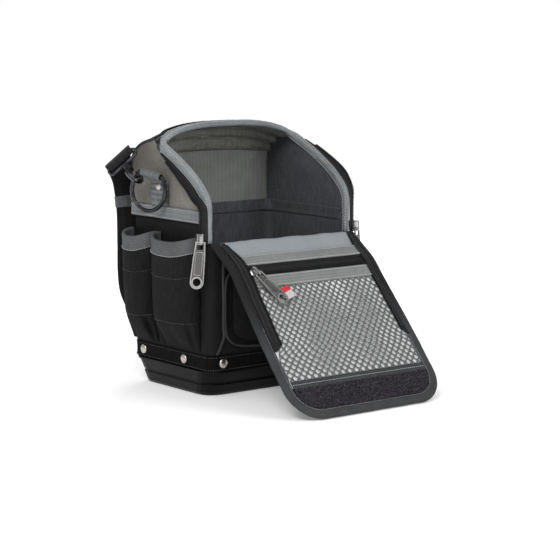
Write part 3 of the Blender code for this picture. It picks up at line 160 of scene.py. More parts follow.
class Finish:
    """A material with a Principled shader at its end."""

    def __init__(self, name, **sockets):
        self.material = bpy.data.materials.new(name)
        self.material.use_nodes = True
        self.tree = self.material.node_tree
        self.shader = self.tree.nodes["Principled BSDF"]
        for socket, value in sockets.items():
            self.set(socket, value)

    def feed(self, socket, value):
        if isinstance(value, Wire):
            self.tree.links.new(value.socket, socket)
        else:
            socket.default_value = value

    def set(self, socket, value):
        self.feed(self.shader.inputs[socket.replace("_", " ")], value)
        return self

    def node(self, kind, settings, *values, output=0, **named):
        made = self.tree.nodes.new(kind)
        for key, value in settings.items():
            setattr(made, key, value)
        for index, value in enumerate(values):
            self.feed(made.inputs[index], value)
        for key, value in named.items():
            self.feed(made.inputs[key.replace("_", " ")], value)
        return Wire(self, made.outputs[output])

    def uv(self):
        """The piece's own map, in metres: across it and along it."""
        place = self.node("ShaderNodeUVMap", {"uv_map": "UVMap"})
        return place, self.part(place, 0), self.part(place, 1)

    def part(self, vector, axis):
        return self.node("ShaderNodeSeparateXYZ", {}, vector, output=axis)

    def solid(self):
        """The place in the object, in metres."""
        return self.node("ShaderNodeTexCoord", {}, output=3)

    def noise(self, place, scale, detail=2.0, stretch=None):
        if stretch:
            place = self.node("ShaderNodeMapping", {}, place, Scale=stretch)
        return self.node("ShaderNodeTexNoise", {}, place, Scale=scale, Detail=detail)

    def step(self, value, low, high, to_low=0.0, to_high=1.0):
        """Smooth change from to_low to to_high as value goes from low to high."""
        return self.node("ShaderNodeMapRange", {"interpolation_type": "SMOOTHSTEP"},
                         value, low, high, to_low, to_high)

    def mix(self, share, first, second):
        """Colour between two colours."""
        colours = [c if isinstance(c, Wire) else (*c, 1.0) for c in (first, second)]
        made = self.tree.nodes.new("ShaderNodeMix")
        made.data_type = "RGBA"
        for index, value in ((0, share), (6, colours[0]), (7, colours[1])):
            self.feed(made.inputs[index], value)
        return Wire(self, made.outputs[2])

    def bump(self, height, depth, strength=1.0):
        """Raises the surface by height times depth, in metres."""
        self.set("Normal", self.node("ShaderNodeBump", {}, Strength=strength, Distance=depth, Height=height))
        return self


# %% [markdown]
# Cloth is threads over and under each other. Two sine waves multiplied give that checker of raised
# threads; a third, slanted wave gives twill its diagonal. Slow noise along the thread makes the
# streaks that real yarn has, and a little dust lightens the high spots.

# %% Cloth finishes
def woven(name, dark, light, pitch, twill=0.0, roughness=0.8, streak=0.5, depth=0.12, gloss=0.15, dust=0.25):
    """Plain or twill cloth, drawn on the piece's own map in metres."""
    finish = Finish(name, Roughness=roughness, Specular_IOR_Level=gloss)
    place, across, along = finish.uv()
    turn = math.tau / pitch
    threads = (across * turn).math("SINE") * (along * turn).math("SINE") * 0.5 + 0.5
    if twill:
        slant = ((across + along * 0.8) * (turn / 1.6)).math("SINE") * 0.5 + 0.5
        threads = threads * (1 - twill) + slant * twill
    grain = finish.noise(place, 420.0, 3.0)
    streaks = finish.noise(place, 160.0, 2.0, stretch=(4.0, 0.35, 1.0))
    clouds = finish.noise(finish.solid(), 14.0, 2.0)
    share = threads * 0.35 + grain * 0.35 + (streaks - 0.5) * streak + (clouds - 0.5) * dust
    finish.set("Base_Color", finish.mix(finish.step(share, 0.1, 0.75), dark, light))
    finish.set("Roughness", roughness + (grain - 0.5) * 0.2)
    return finish.bump(threads * 0.7 + grain * 0.5, depth * MM).material


def ribbed(name, dark, light, pitch, roughness=0.75, depth=0.3, across_too=0.25, weight=0.35, foot=None):
    """Webbing: cross ribs along the strap, and finer yarns along its width. It may be paler at its foot."""
    finish = Finish(name, Roughness=roughness, Specular_IOR_Level=0.2)
    place, across, along = finish.uv()
    ribs = (along * (math.tau / pitch)).math("SINE") * 0.5 + 0.5
    yarns = (across * (math.tau / (pitch * 0.7))).math("SINE") * 0.5 + 0.5
    grain = finish.noise(place, 600.0, 3.0)
    weave = ribs * (1 - across_too) + yarns * across_too
    share = weave * weight + grain * 0.4 + finish.noise(finish.solid(), 60.0) * 0.25
    colour = finish.mix(finish.step(share, 0.2, 0.8), dark, light)
    if foot:
        height = finish.part(finish.solid(), 2)
        raised = finish.step(height, 60 * MM, 125 * MM)
        colour = finish.mix(raised, finish.mix(finish.step(share, 0.2, 0.8), *foot), colour)
    finish.set("Base_Color", colour)
    return finish.bump(weave * 0.8 + grain * 0.3, depth * MM).material


black_cloth = woven("black_cloth", (0.002, 0.002, 0.0025), (0.015, 0.015, 0.016), 1.3 * MM, roughness=0.78)
black_twill = woven("black_twill", (0.0015, 0.0015, 0.002), (0.019, 0.019, 0.020), 1.5 * MM,
                    twill=0.7, depth=0.2, gloss=0.12)
hem_cloth = woven("hem_cloth", (0.001, 0.001, 0.0012), (0.007, 0.007, 0.0075), 1.2 * MM,
                  streak=0.7, gloss=0.08)
taupe_cloth = woven("taupe_cloth", (0.106, 0.100, 0.088), (0.215, 0.203, 0.182), 0.9 * MM,
                    depth=0.06, dust=0.5)
inner_cloth = woven("inner_cloth", (0.036, 0.037, 0.042), (0.096, 0.099, 0.107), 1.2 * MM, streak=0.6)
pale_lining = woven("pale_lining", (0.185, 0.200, 0.215), (0.280, 0.296, 0.312), 0.8 * MM,
                    depth=0.04, streak=0.2)
olive_roll = woven("olive_roll", (0.070, 0.071, 0.064), (0.240, 0.241, 0.218), 1.1 * MM, depth=0.25, dust=0.6)
ribbed_lining = ribbed("ribbed_lining", (0.090, 0.095, 0.091), (0.225, 0.232, 0.222), 3.0 * MM,
                       across_too=1.0)
lip_cloth = woven("lip_cloth", (0.105, 0.115, 0.122), (0.270, 0.286, 0.298), 1.0 * MM, depth=0.08, dust=0.6)
flap_lining = woven("flap_lining", (0.470, 0.472, 0.472), (0.670, 0.672, 0.670), 0.8 * MM,
                    depth=0.04, streak=0.2)
flap_web = ribbed("flap_web", (0.098, 0.106, 0.101), (0.222, 0.232, 0.224), 0.9 * MM, depth=0.12)
grey_web = ribbed("grey_web", (0.070, 0.076, 0.080), (0.180, 0.190, 0.196), 1.6 * MM)
band_web = ribbed("band_web", (0.088, 0.094, 0.099), (0.215, 0.225, 0.231), 0.9 * MM, depth=0.12)
rim_web = ribbed("rim_web", (0.038, 0.041, 0.042), (0.118, 0.123, 0.124), 0.9 * MM, depth=0.15)
black_web = ribbed("black_web", (0.002, 0.002, 0.0025), (0.016, 0.016, 0.017), 1.8 * MM, weight=0.6)
edge_tape = ribbed("edge_tape", (0.010, 0.011, 0.012), (0.052, 0.054, 0.056), 1.0 * MM, depth=0.1)
flap_edge = ribbed("flap_edge", (0.002, 0.002, 0.0025), (0.014, 0.014, 0.015), 1.0 * MM, depth=0.1,
                   foot=((0.012, 0.013, 0.014), (0.058, 0.060, 0.062)))
zip_cloth = ribbed("zip_cloth", (0.002, 0.002, 0.0025), (0.012, 0.012, 0.013), 1.1 * MM, depth=0.1)
print("cloth finishes", len(bpy.data.materials))

# %% [markdown]
# Hard finishes read the place in the object. Noise on roughness breaks up a reflection the way
# handling does, and fine bump gives moulded plastic its grain.

# %% Hard finishes
def metal(name, colour, roughness, grain=900.0, wear=0.25, tint=0.75, metallic=1.0):
    """Plated or tumbled metal with a worn, slightly uneven polish."""
    finish = Finish(name, Metallic=metallic)
    place = finish.solid()
    spots = finish.noise(place, grain, 3.0)
    smears = finish.noise(place, 90.0, 2.0)
    dull = tuple(channel * tint for channel in colour)
    finish.set("Base_Color", finish.mix(finish.step(spots * 0.5 + smears * 0.5, 0.35, 0.7), dull, colour))
    finish.set("Roughness", roughness + (smears - 0.5) * wear + (spots - 0.5) * 0.1)
    return finish.bump(spots, 0.02 * MM).material


def moulded(name, colour, roughness, scale=1400.0, depth=0.06):
    """Moulded plastic or rubber with a fine pebbled skin."""
    finish = Finish(name, Specular_IOR_Level=0.14)
    place = finish.solid()
    pebble = finish.noise(place, scale, 2.0)
    scuff = finish.noise(place, 25.0, 4.0)
    worn = tuple(channel * 1.9 + 0.004 for channel in colour)
    finish.set("Base_Color", finish.mix(finish.step(scuff, 0.45, 0.8) * 0.6, colour, worn))
    finish.set("Roughness", roughness + (scuff - 0.5) * 0.25)
    return finish.bump(pebble, depth * MM).material


def pile(name, dark, light):
    """Short loops of a fastener strip: speckled and matt."""
    finish = Finish(name, Roughness=0.95, Specular_IOR_Level=0.15)
    place = finish.solid()
    loops = finish.noise(place, 750.0, 3.0)
    finish.set("Base_Color", finish.mix(finish.step(loops, 0.42, 0.66), dark, light))
    return finish.bump(loops, 0.5 * MM).material


def yarn(name, dark, light):
    """Sewing thread or cord: plain, with a slight twist of light and dark."""
    finish = Finish(name, Roughness=0.6, Specular_IOR_Level=0.3)
    twist = finish.noise(finish.solid(), 900.0, 1.0)
    finish.set("Base_Color", finish.mix(finish.step(twist, 0.35, 0.65), dark, light))
    return finish.bump(twist, 0.05 * MM).material


rivet_nickel = metal("rivet_nickel", (0.60, 0.55, 0.52), 0.30)
puller_metal = metal("puller_metal", (0.430, 0.425, 0.415), 0.30, tint=0.7)
puller_plate = metal("puller_plate", (0.150, 0.148, 0.145), 0.46, tint=0.7)
plated_black = metal("plated_black", (0.060, 0.060, 0.066), 0.26, tint=0.5, metallic=0.9)
tub_plastic = moulded("tub_plastic", (0.0022, 0.0022, 0.0026), 0.40)
grip_rubber = moulded("grip_rubber", (0.006, 0.006, 0.0065), 0.62, 900.0, 0.1)
tooth_plastic = moulded("tooth_plastic", (0.006, 0.006, 0.0065), 0.34, 2400.0, 0.02)
loop_pile = pile("loop_pile", (0.003, 0.0028, 0.004), (0.052, 0.046, 0.058))
hook_pile = pile("hook_pile", (0.003, 0.003, 0.0035), (0.022, 0.022, 0.024))
grey_thread = yarn("grey_thread", (0.200, 0.210, 0.215), (0.420, 0.430, 0.440))
pale_thread = yarn("pale_thread", (0.340, 0.355, 0.370), (0.560, 0.575, 0.590))
dark_thread = yarn("dark_thread", (0.030, 0.031, 0.033), (0.100, 0.102, 0.106))
black_thread = yarn("black_thread", (0.008, 0.008, 0.009), (0.036, 0.036, 0.038))
net_yarn = yarn("net_yarn", (0.050, 0.052, 0.053), (0.125, 0.128, 0.130))
tag_red = woven("tag_red", (0.420, 0.020, 0.030), (0.560, 0.045, 0.055), 0.6 * MM, depth=0.04)
tag_white = woven("tag_white", (0.380, 0.350, 0.355), (0.540, 0.505, 0.510), 0.6 * MM, depth=0.04)
print("finishes", len(bpy.data.materials))

# %% [markdown]
# Sewn parts start as a flat grid. Each point of the grid moves to where the pattern says, so the
# grid's own map stays flat, like the cloth before it was sewn, and the weave follows every curve.
# Solidify then gives the cloth its thickness, with the lining on the inner side.

# %% Cloth from a grid
def spread(count):
    """Even shares from 0 to 1, or a list of shares as it is."""
    return list(count) if hasattr(count, "__len__") else [i / count for i in range(count + 1)]


def edit(obj, *steps):
    """Runs edit-mode operators on all of a piece."""
    bpy.ops.object.select_all(action="DESELECT")
    bpy.context.view_layer.objects.active = obj
    obj.select_set(True)
    bpy.ops.object.mode_set(mode="EDIT")
    bpy.ops.mesh.select_all(action="SELECT")
    for step in steps:
        step()
    bpy.ops.object.mode_set(mode="OBJECT")


def weld():
    bpy.ops.mesh.remove_doubles(threshold=0.01 * MM)


def outward():
    bpy.ops.mesh.normals_make_consistent(inside=False)


def close_ends():
    bpy.ops.mesh.select_all(action="DESELECT")
    bpy.ops.mesh.select_non_manifold()
    bpy.ops.mesh.fill_holes(sides=0)
    bpy.ops.mesh.select_all(action="SELECT")


def modify(obj, kind, **settings):
    """Adds one modifier and applies it."""
    bpy.context.view_layer.objects.active = obj
    step = obj.modifiers.new(kind.lower(), kind)
    for key, value in settings.items():
        setattr(step, key, value)
    bpy.ops.object.modifier_apply(modifier=step.name)


def smooth(obj, levels=1):
    if levels:
        modify(obj, "SUBSURF", levels=levels, render_levels=levels)
    obj.data.shade_smooth()


def surface(name, across, along, place, size, finish, facing=None, wall=0.0, levels=0, lining=None):
    """Cloth whose grid points move to place(u, v); its map is size metres across and along."""
    us, vs = spread(across), spread(along)
    bpy.ops.object.select_all(action="DESELECT")
    bpy.ops.mesh.primitive_grid_add(x_subdivisions=len(us) - 1, y_subdivisions=len(vs) - 1, size=1)
    obj = bpy.context.object
    obj.name = obj.data.name = name
    last = (len(us) - 1, len(vs) - 1)
    for vert in obj.data.vertices:
        u, v = us[round((vert.co.x + 0.5) * last[0])], vs[round((vert.co.y + 0.5) * last[1])]
        vert.co = place(u, v)
    for corner in obj.data.uv_layers.active.data:
        u, v = us[round(corner.uv.x * last[0])], vs[round(corner.uv.y * last[1])]
        corner.uv = (u * size[0], v * size[1])
    obj.data.materials.append(finish)
    if facing:
        total = sum((face.normal * face.area for face in obj.data.polygons), Vector())
        if total.dot(Vector(facing)) < 0:
            edit(obj, bpy.ops.mesh.flip_normals)
    else:
        edit(obj, weld, outward)
    if wall:
        if lining:
            obj.data.materials.append(lining)
        modify(obj, "SOLIDIFY", thickness=wall, offset=-1, material_offset=1 if lining else 0)
    smooth(obj, levels)
    return obj


def settle(obj, body, slot, *replaced):
    """Fixes a piece to its body and hides the frame's pieces it stands for. Given a bend between two bodies, it
    only bakes the piece's place and bends nothing.
    """
    if isinstance(body, tuple):
        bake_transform(obj)
    else:
        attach(obj, body)
    if replaced:
        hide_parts(*replaced)
    return obj


def rough(x, y, z, scale, depth):
    """Gentle unevenness that is the same each run."""
    return noise.noise(Vector((x, y, z)) / scale) * depth


def ease(value, low, high):
    share = max(0.0, min(1.0, (value - low) / (high - low)))
    return share * share * (3 - 2 * share)


# %% [markdown]
# Webbing, binding and piping are one section carried along a line. At each station the line gives
# a point, a width direction and a thickness direction, and the section is drawn in those two.

# %% Strips and tubes
def curve_through(points, steps):
    """Catmull-Rom curve through points."""
    knots = [Vector(p) for p in points]
    knots = [knots[0] * 2 - knots[1]] + knots + [knots[-1] * 2 - knots[-2]]
    path = []
    for a, b, c, d in zip(knots, knots[1:], knots[2:], knots[3:]):
        for i in range(steps):
            t = i / steps
            path.append(0.5 * (2 * b + (c - a) * t + (2 * a - 5 * b + 4 * c - d) * t ** 2
                               + (3 * b - a - 3 * c + d) * t ** 3))
    return path + [knots[-2]]


def evenly(path, count):
    """The same path with points at even distances."""
    lengths = [0.0]
    for a, b in zip(path, path[1:]):
        lengths.append(lengths[-1] + (b - a).length)
    points, leg = [], 0
    for i in range(count + 1):
        wanted = lengths[-1] * i / count
        while leg < len(path) - 2 and lengths[leg + 1] < wanted:
            leg += 1
        share = (wanted - lengths[leg]) / max(lengths[leg + 1] - lengths[leg], 1e-9)
        points.append(path[leg].lerp(path[leg + 1], min(share, 1.0)))
    return points


def stations(path, sides, closed=False):
    """Point, width direction and thickness direction at each point of a path."""
    last, made = len(path) - 1, []
    for i, point in enumerate(path):
        before = path[i - 1] if i or closed else point
        after = path[(i + 1) % len(path)] if i < last or closed else point
        side = Vector(sides[i] if isinstance(sides, list) else sides).normalized()
        made.append((point, side, (after - before).cross(side).normalized()))
    return made


def band_section(width, thickness, corner=0.45, steps=3):
    """Flat oblong with round edges."""
    w, t = width / 2, thickness / 2
    r = t * corner * 2
    points = []
    for cx, cy, start in ((w - r, t - r, 0), (-w + r, t - r, 1), (-w + r, -t + r, 2), (w - r, -t + r, 3)):
        for i in range(steps + 1):
            turn = math.pi / 2 * (start + i / steps)
            points.append((cx + r * math.cos(turn), cy + r * math.sin(turn)))
    return points


def round_section(radius, sides=12):
    turns = [math.tau * i / sides for i in range(sides)]
    return [(radius * math.cos(turn), radius * math.sin(turn)) for turn in turns]


def strip(name, rail, section, finish, closed=False, widths=None, levels=0):
    """A section carried along stations, closed at its ends."""
    loop = section + section[:1]
    rows = rail + rail[:1] if closed else rail
    girth = sum(math.dist(a, b) for a, b in zip(loop, loop[1:]))
    length = sum((b[0] - a[0]).length for a, b in zip(rows, rows[1:]))

    def place(u, v):
        row = round(v * (len(rows) - 1))
        point, wide, thick = rows[row]
        a, b = loop[round(u * (len(loop) - 1))]
        if widths:
            a, b = a * widths[row][0], b * widths[row][1]
        return point + wide * a + thick * b

    obj = surface(name, len(loop) - 1, len(rows) - 1, place, (girth, length), finish)
    edit(obj, weld, close_ends, outward)
    if levels:
        smooth(obj, levels)
    obj.data.shade_smooth()
    obj.data.set_sharp_from_angle(angle=math.radians(55))
    return obj


# %% [markdown]
# Stitches, teeth and rivets repeat hundreds of times. Each is modelled once with few faces, and
# its copies are laid along a seam, each turned to the cloth under it.

# %% Repeats along a seam
def unit_ball(size, segments, rings):
    bpy.ops.object.select_all(action="DESELECT")
    bpy.ops.mesh.primitive_uv_sphere_add(segments=segments, ring_count=rings, radius=1)
    ball = bpy.context.object
    ball.data.transform(Matrix.Diagonal((*size, 1)))
    return ball


def repeat(name, unit, places, finish):
    """Copies of one small shape, each in its own frame, as a single piece."""
    points = np.array([v.co[:] + (1.0,) for v in unit.data.vertices])
    faces = [list(face.vertices) for face in unit.data.polygons]
    moved = np.concatenate([points @ np.array(place.transposed())[:, :3] for place in places])
    count = len(points)
    every = [[index + count * i for index in face] for i in range(len(places)) for face in faces]
    mesh = bpy.data.meshes.new(name)
    mesh.from_pydata(moved.tolist(), [], every)
    mesh.materials.append(finish)
    mesh.shade_smooth()
    obj = bpy.data.objects.new(name, mesh)
    bpy.context.scene.collection.objects.link(obj)
    bpy.data.objects.remove(unit)
    return obj


def frame_at(point, along, normal):
    """Frame with x along a seam and z out of the cloth."""
    x = along.normalized()
    z = (normal - x * normal.dot(x)).normalized()
    turned = Matrix((x, z.cross(x), z)).transposed().to_4x4()
    turned.translation = point
    return turned


def along_seam(spots, pitch):
    """Frames at an even pitch along (point, normal) spots."""
    count = max(1, round(sum((b[0] - a[0]).length for a, b in zip(spots, spots[1:])) / pitch))
    points = evenly([p for p, _ in spots], count * 2)
    frames = []
    for i in range(1, len(points) - 1, 2):
        nearest = min(spots, key=lambda spot: (spot[0] - points[i]).length_squared)
        frames.append(frame_at(points[i], points[i + 1] - points[i - 1], nearest[1]))
    return frames


def stitches(name, rows, body, slot, finish=grey_thread, pitch=3.2 * MM, length=2.3 * MM, thick=0.42 * MM):
    """Rows of stitches along seams, as one piece."""
    places = [place for spots in rows for place in along_seam(spots, pitch)]
    unit = unit_ball((length / 2, thick * 0.8, thick), 6, 5)
    return settle(repeat(name, unit, places, finish), body, slot)


def seam(place, route, facing, lift=0.1 * MM):
    """Spots on a piece of cloth along a route of (u, v), with the normal there."""
    spots, tiny = [], 1e-3
    for u, v in route:
        point = place(u, v)
        du = place(min(u + tiny, 1), v) - place(max(u - tiny, 0), v)
        dv = place(u, min(v + tiny, 1)) - place(u, max(v - tiny, 0))
        normal = du.cross(dv).normalized()
        if normal.dot(Vector(facing)) < 0:
            normal = -normal
        spots.append((point + normal * lift, normal))
    return spots


def row(v, start=0.0, end=1.0, count=60):
    """Route across a piece at one share of its length."""
    return [(start + (end - start) * i / count, v) for i in range(count + 1)]


def column(u, start=0.0, end=1.0, count=60):
    return [(u, start + (end - start) * i / count) for i in range(count + 1)]


# %% [markdown]
# The stage is a pale floor under soft light: one large lamp above the camera's left, a weaker one
# from the right and an even sky. The floor stays plain in colour but glows with painted light, dim near the bag
# and full far off, which paints shade round the bag; it also catches the bag's shadow.

# %% Floor, sky and lamps
bpy.ops.mesh.primitive_plane_add(size=16, location=(0, 0, -0.2 * MM))
floor = bpy.context.object
floor.name = "floor"
floor.data.transform(floor.matrix_world)
floor.matrix_world = Matrix.Identity(4)
pale = Finish("pale_floor", Base_Color=(0.93, 0.93, 0.93, 1.0), Roughness=0.9)
# Painted light: the floor's glow is weakest near the bag and grows with distance, so it paints shade round the
# bag and lights the bag from below.
away = pale.node("ShaderNodeVectorMath", {"operation": "LENGTH"}, pale.solid(), output=1)
pale.set("Emission_Color", pale.step(away, 0.25, 1.3, 0.26, 1.0)).set("Emission_Strength", 0.42)
floor.data.materials.append(pale.material)
floor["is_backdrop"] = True
sky = bpy.data.worlds.new("sky")
sky.use_nodes = True
bpy.context.scene.world = sky
backdrop = sky.node_tree.nodes["Background"]
ray = sky.node_tree.nodes.new("ShaderNodeLightPath")
level = sky.node_tree.nodes.new("ShaderNodeMapRange")
level.inputs["To Min"].default_value = 0.62
level.inputs["To Max"].default_value = 1.0
sky.node_tree.links.new(ray.outputs["Is Camera Ray"], level.inputs["Value"])
sky.node_tree.links.new(level.outputs["Result"], backdrop.inputs["Strength"])
backdrop.inputs["Color"].default_value = (1, 1, 1, 1)


def lamp(name, place, aim, size, power):
    """Square soft lamp aimed at a point."""
    data = bpy.data.lights.new(name, "AREA")
    data.size = size
    data.energy = power
    made = bpy.data.objects.new(name, data)
    made.location = place
    made.rotation_mode = "QUATERNION"
    made.rotation_quaternion = (Vector(aim) - Vector(place)).to_track_quat("-Z", "Y")
    bpy.context.scene.collection.objects.link(made)


lamp("key", (-1.5, -1.1, 1.7), (0, 0, 0.15), 0.9, 34)
lamp("front", (0.6, -2.2, 1.1), (0, -0.1, 0.12), 0.8, 16)
lamp("rim", (1.2, 1.3, 1.4), (0, 0, 0.2), 0.8, 14)
print("stage ready")

# %% [markdown]
# Every size comes from the frame: the shell's box gives the walls, the flap's hinge gives the
# height of the front wall, and the few sizes of the cloth itself are named here.

# %% Sizes from the frame
shell_low, shell_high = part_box("body_shell")
half_width, half_depth, side_top = shell_high.x, shell_high.y, shell_high.z
shell_foot = shell_low.z
front_top = joints["flap_hinge"]["pos_m"][2]
corner_radius = 11 * MM
gap = 0.3 * MM
binding_depth = 11 * MM
lip_thickness = 6.4 * MM
gusset_thickness = 3.5 * MM
ring_steps, mouth_steps, gusset_steps, hood_steps = 160, 60, 48, 32


def round_box(half_x, half_y, radius, count=ring_steps):
    """Even points round an oblong with round corners, from the middle of its back."""
    corners = []
    for turn, cx, cy in ((1, -1, 1), (2, -1, -1), (3, 1, -1), (4, 1, 1)):
        for i in range(13):
            angle = math.pi / 2 * (turn + i / 12)
            corners.append(Vector((cx * (half_x - radius) + radius * math.cos(angle),
                                   cy * (half_y - radius) + radius * math.sin(angle), 0)))
    middle = Vector((0, half_y, 0))
    return evenly([middle] + corners + [middle], count)


print("body", half_width * 2, half_depth * 2, side_top)

# %% [markdown]
# The tub is moulded, so it keeps the frame's shape and only gets its pebbled skin. The hem band
# is heavy cloth pulled tight over the tub's flange and held by domed rivets.

# %% Tub, floor board and hem band
def repaint(name, finish):
    """Gives a frame piece its finish."""
    nodes[name].data.materials.clear()
    nodes[name].data.materials.append(finish)


repaint("base_tub", tub_plastic)
repaint("floor_board", tub_plastic)
band_low, band_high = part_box("base_hem_band")
rivet_height = 2.2 * MM
band_half = (band_high.x - rivet_height, band_high.y - rivet_height)
band_ring = round_box(band_half[0], band_half[1], corner_radius + 1 * MM)


def hem_band(u, v):
    point = band_ring[round(u * ring_steps)]
    height = band_low.z + (band_high.z - band_low.z) * v
    slack = rough(point.x, point.y, height, 0.03, 0.5 * MM) + 0.5 * MM * math.sin(math.pi * v)
    pull = 1 - slack / half_width
    return Vector((point.x * pull, point.y * pull, height))


band = surface("hem_band", ring_steps, 6, hem_band, (0.72, 0.02), hem_cloth, wall=2.2 * MM, levels=1)
settle(band, "bag", "hem_fabric", "base_hem_band")
hem_rows = [seam(hem_band, [(i / 320, v) for i in range(1, 320)], (0, 0, 1)) for v in (0.12, 0.88)]
for spots in hem_rows:
    spots[:] = [(p, Vector((p.x, p.y * 1.3, 0)).normalized()) for p, _ in spots]
stitches("hem_stitches", hem_rows, "bag", "hem_fabric", dark_thread)


def rivet(radius, height):
    """Domed cap with a thin brim."""
    cap = unit_ball((radius, radius, height), 28, 14)
    edit(cap, lambda: bpy.ops.mesh.bisect(plane_co=(0, 0, height * 0.12), plane_no=(0, 0, 1),
                                          clear_inner=True, use_fill=True))
    return cap


rivet_z, rivet_y, rivet_x = 40 * MM, (-27.4 * MM, 56.8 * MM), 86 * MM
rivet_spots = [(Vector((side * band_half[0], y, rivet_z)), Vector((side, 0, 0)))
               for side, _ in SIDES for y in rivet_y]
rivet_spots += [(Vector((side * rivet_x, end * band_half[1], rivet_z)), Vector((0, end, 0)))
                for side, _ in SIDES for end in (-1, 1)]
rivet_frames = [frame_at(p - n * 0.4 * MM, Vector((0, 0, 1)), n) for p, n in rivet_spots]
settle(repeat("hem_rivets", rivet(5.9 * MM, 2.6 * MM), rivet_frames, rivet_nickel), "bag", "nickel")
print("rivets", len(rivet_spots))

# %% [markdown]
# The shell is one wall of heavy cloth round the body. It stands lower across the front, where the
# flap folds out, and it sags a little between the corners that hold it up.

# %% Shell
shell_ring = round_box(half_width - 0.2 * MM, half_depth - 0.2 * MM, corner_radius)
shell_rows = [0, 0.02, 0.08] + [0.16 + 0.84 * i / 14 for i in range(15)]
lip_back = -half_depth + binding_depth


def shell(u, v):
    point = shell_ring[round(u * ring_steps)]
    top = front_top + (side_top - front_top) * ease(point.y, lip_back - 1 * MM, lip_back)
    height = shell_foot + (top - shell_foot) * v
    sag = (0.5 * MM + rough(point.x, point.y, height, 0.045, 0.8 * MM)) * math.sin(math.pi * v)
    draw = 1 - max(0.0, sag) / half_width
    return Vector((point.x * draw, point.y * draw, height))


shell_piece = surface("shell", ring_steps, shell_rows, shell, (0.72, 0.15), black_cloth,
                      wall=2.6 * MM, lining=inner_cloth)
settle(shell_piece, "bag", "black_fabric", "body_shell")

pocket_low, pocket_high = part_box("front_pocket")
pad_deep = pocket_high.y - pocket_low.y
pad_half = (pocket_high.x, (pocket_high.z - pocket_low.z) / 2)
pad_middle = (pocket_high.z + pocket_low.z) / 2


def pad_front(u, v):
    """Padded pocket on the front wall: crowned, and drawn in where its seam runs."""
    x, z = 2 * u - 1, 2 * v - 1
    square = (abs(x) ** 5 + abs(z) ** 5) ** 0.2
    flat = max(abs(x), abs(z)) / max(square, 1e-6)
    px, pz = x * flat * pad_half[0], z * flat * pad_half[1]
    rim = max(abs(x), abs(z))
    rise = pad_deep * (1 - rim ** 6) ** 0.5 + rough(px, 0, pz, 0.02, 0.7 * MM) * (1 - rim)
    return Vector((px, pocket_high.y - max(0.0, rise), pad_middle + pz))


def inflate(obj, held_from, most):
    """Swells a closed piece with air pressure, held where it is sewn down, and keeps the result."""
    modify(obj, "REMESH", mode="VOXEL", voxel_size=4 * MM)
    sewn = obj.vertex_groups.new(name="sewn")
    sewn.add([vert.index for vert in obj.data.vertices if vert.co.y > held_from], 1.0, "REPLACE")
    before = [vert.co.copy() for vert in obj.data.vertices]
    cloth = obj.modifiers.new("cloth", "CLOTH")
    cloth.settings.use_pressure = True
    cloth.settings.uniform_pressure_force = 4
    cloth.settings.effector_weights.gravity = 0
    cloth.settings.vertex_group_mass = "sewn"
    cloth.point_cache.frame_start, cloth.point_cache.frame_end = 1, 20
    for step in range(1, 21):
        bpy.context.scene.frame_set(step)
    bpy.ops.object.modifier_apply(modifier="cloth")
    for vert, start in zip(obj.data.vertices, before):
        move = vert.co - start
        if move.length > most:
            vert.co = start + move.normalized() * most
    bpy.context.scene.frame_set(1)
    obj.vertex_groups.clear()
    smooth(obj)
    weave = obj.data.uv_layers.new(name="UVMap")
    for corner, spot in zip(obj.data.loops, weave.data):
        point = obj.data.vertices[corner.vertex_index].co
        spot.uv = (point.x, point.z)


pad = surface("front_pad", 44, 28, pad_front, (0.168, 0.098), black_twill, facing=(0, -1, 0), levels=1)
edit(pad, close_ends, outward)
inflate(pad, pocket_high.y - 2.5 * MM, 4 * MM)
settle(pad, "bag", "black_fabric", "front_pocket")
pad_rim = [(i / 80, 0.0) for i in range(80)] + [(1.0, i / 50) for i in range(50)]
pad_rim += [(1 - i / 80, 1.0) for i in range(80)] + [(0.0, 1 - i / 50) for i in range(50)]
piping_path = [pad_front(u, v) + Vector((0, -1.2 * MM, 0)) for u, v in pad_rim]
piping = strip("front_piping", stations(piping_path, (0, 1, 0), closed=True), round_section(1.5 * MM, 8),
               edge_tape, closed=True)
settle(piping, "bag", "black_fabric")
gusset_knots = [(86, 168), (86.5, 140), (86, 110), (86.5, 85), (85.5, 72), (88.5, 64), (93, 55), (96, 51)]
for side, label in SIDES:
    knots = [Vector((side * x * MM, -half_depth - 1.1 * MM, z * MM)) for x, z in gusset_knots]
    rail = stations(curve_through(knots, 5), (0, 1, 0))
    settle(strip("pad_cord_" + label, rail, round_section(1.6 * MM, 8), edge_tape), "bag", "black_fabric")
    spots = [(p + Vector((-side * 3 * MM, 0.6 * MM, 0)), Vector((0, -1, 0))) for p, _, _ in rail]
    stitches("pad_cord_stitches_" + label, [spots], "bag", "black_fabric", dark_thread)
print("shell and front pad ready")

# %% [markdown]
# Each side carries a wide and a narrow pocket. The cloth is cut wider than the wall behind it, so
# the pocket stands out round, and the spare width is pleated into the foot seam, which makes the
# deep creases there. The top third is a second layer, so its lower hem steps out.

# %% Side pockets
pocket_bulge = 24.5 * MM
pocket_foot_bulge = 2.8 * MM
pocket_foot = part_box("pocket_wide_left")[0].z
pocket_rim_z = 185.5 * MM
pocket_dip = 6.5 * MM
upper_hem, lower_hem = 145 * MM, 85 * MM
pocket_rows = [0, 0.04, 0.09, 0.14, 0.19, 0.235, 0.245, 0.252, 0.26, 0.3, 0.4, 0.5, 0.6, 0.66, 0.69, 0.698,
               0.704, 0.712, 0.76, 0.83, 0.9, 0.96, 1]


def rim_height(u):
    return pocket_rim_z - pocket_dip * math.sin(math.pi * u) ** 2


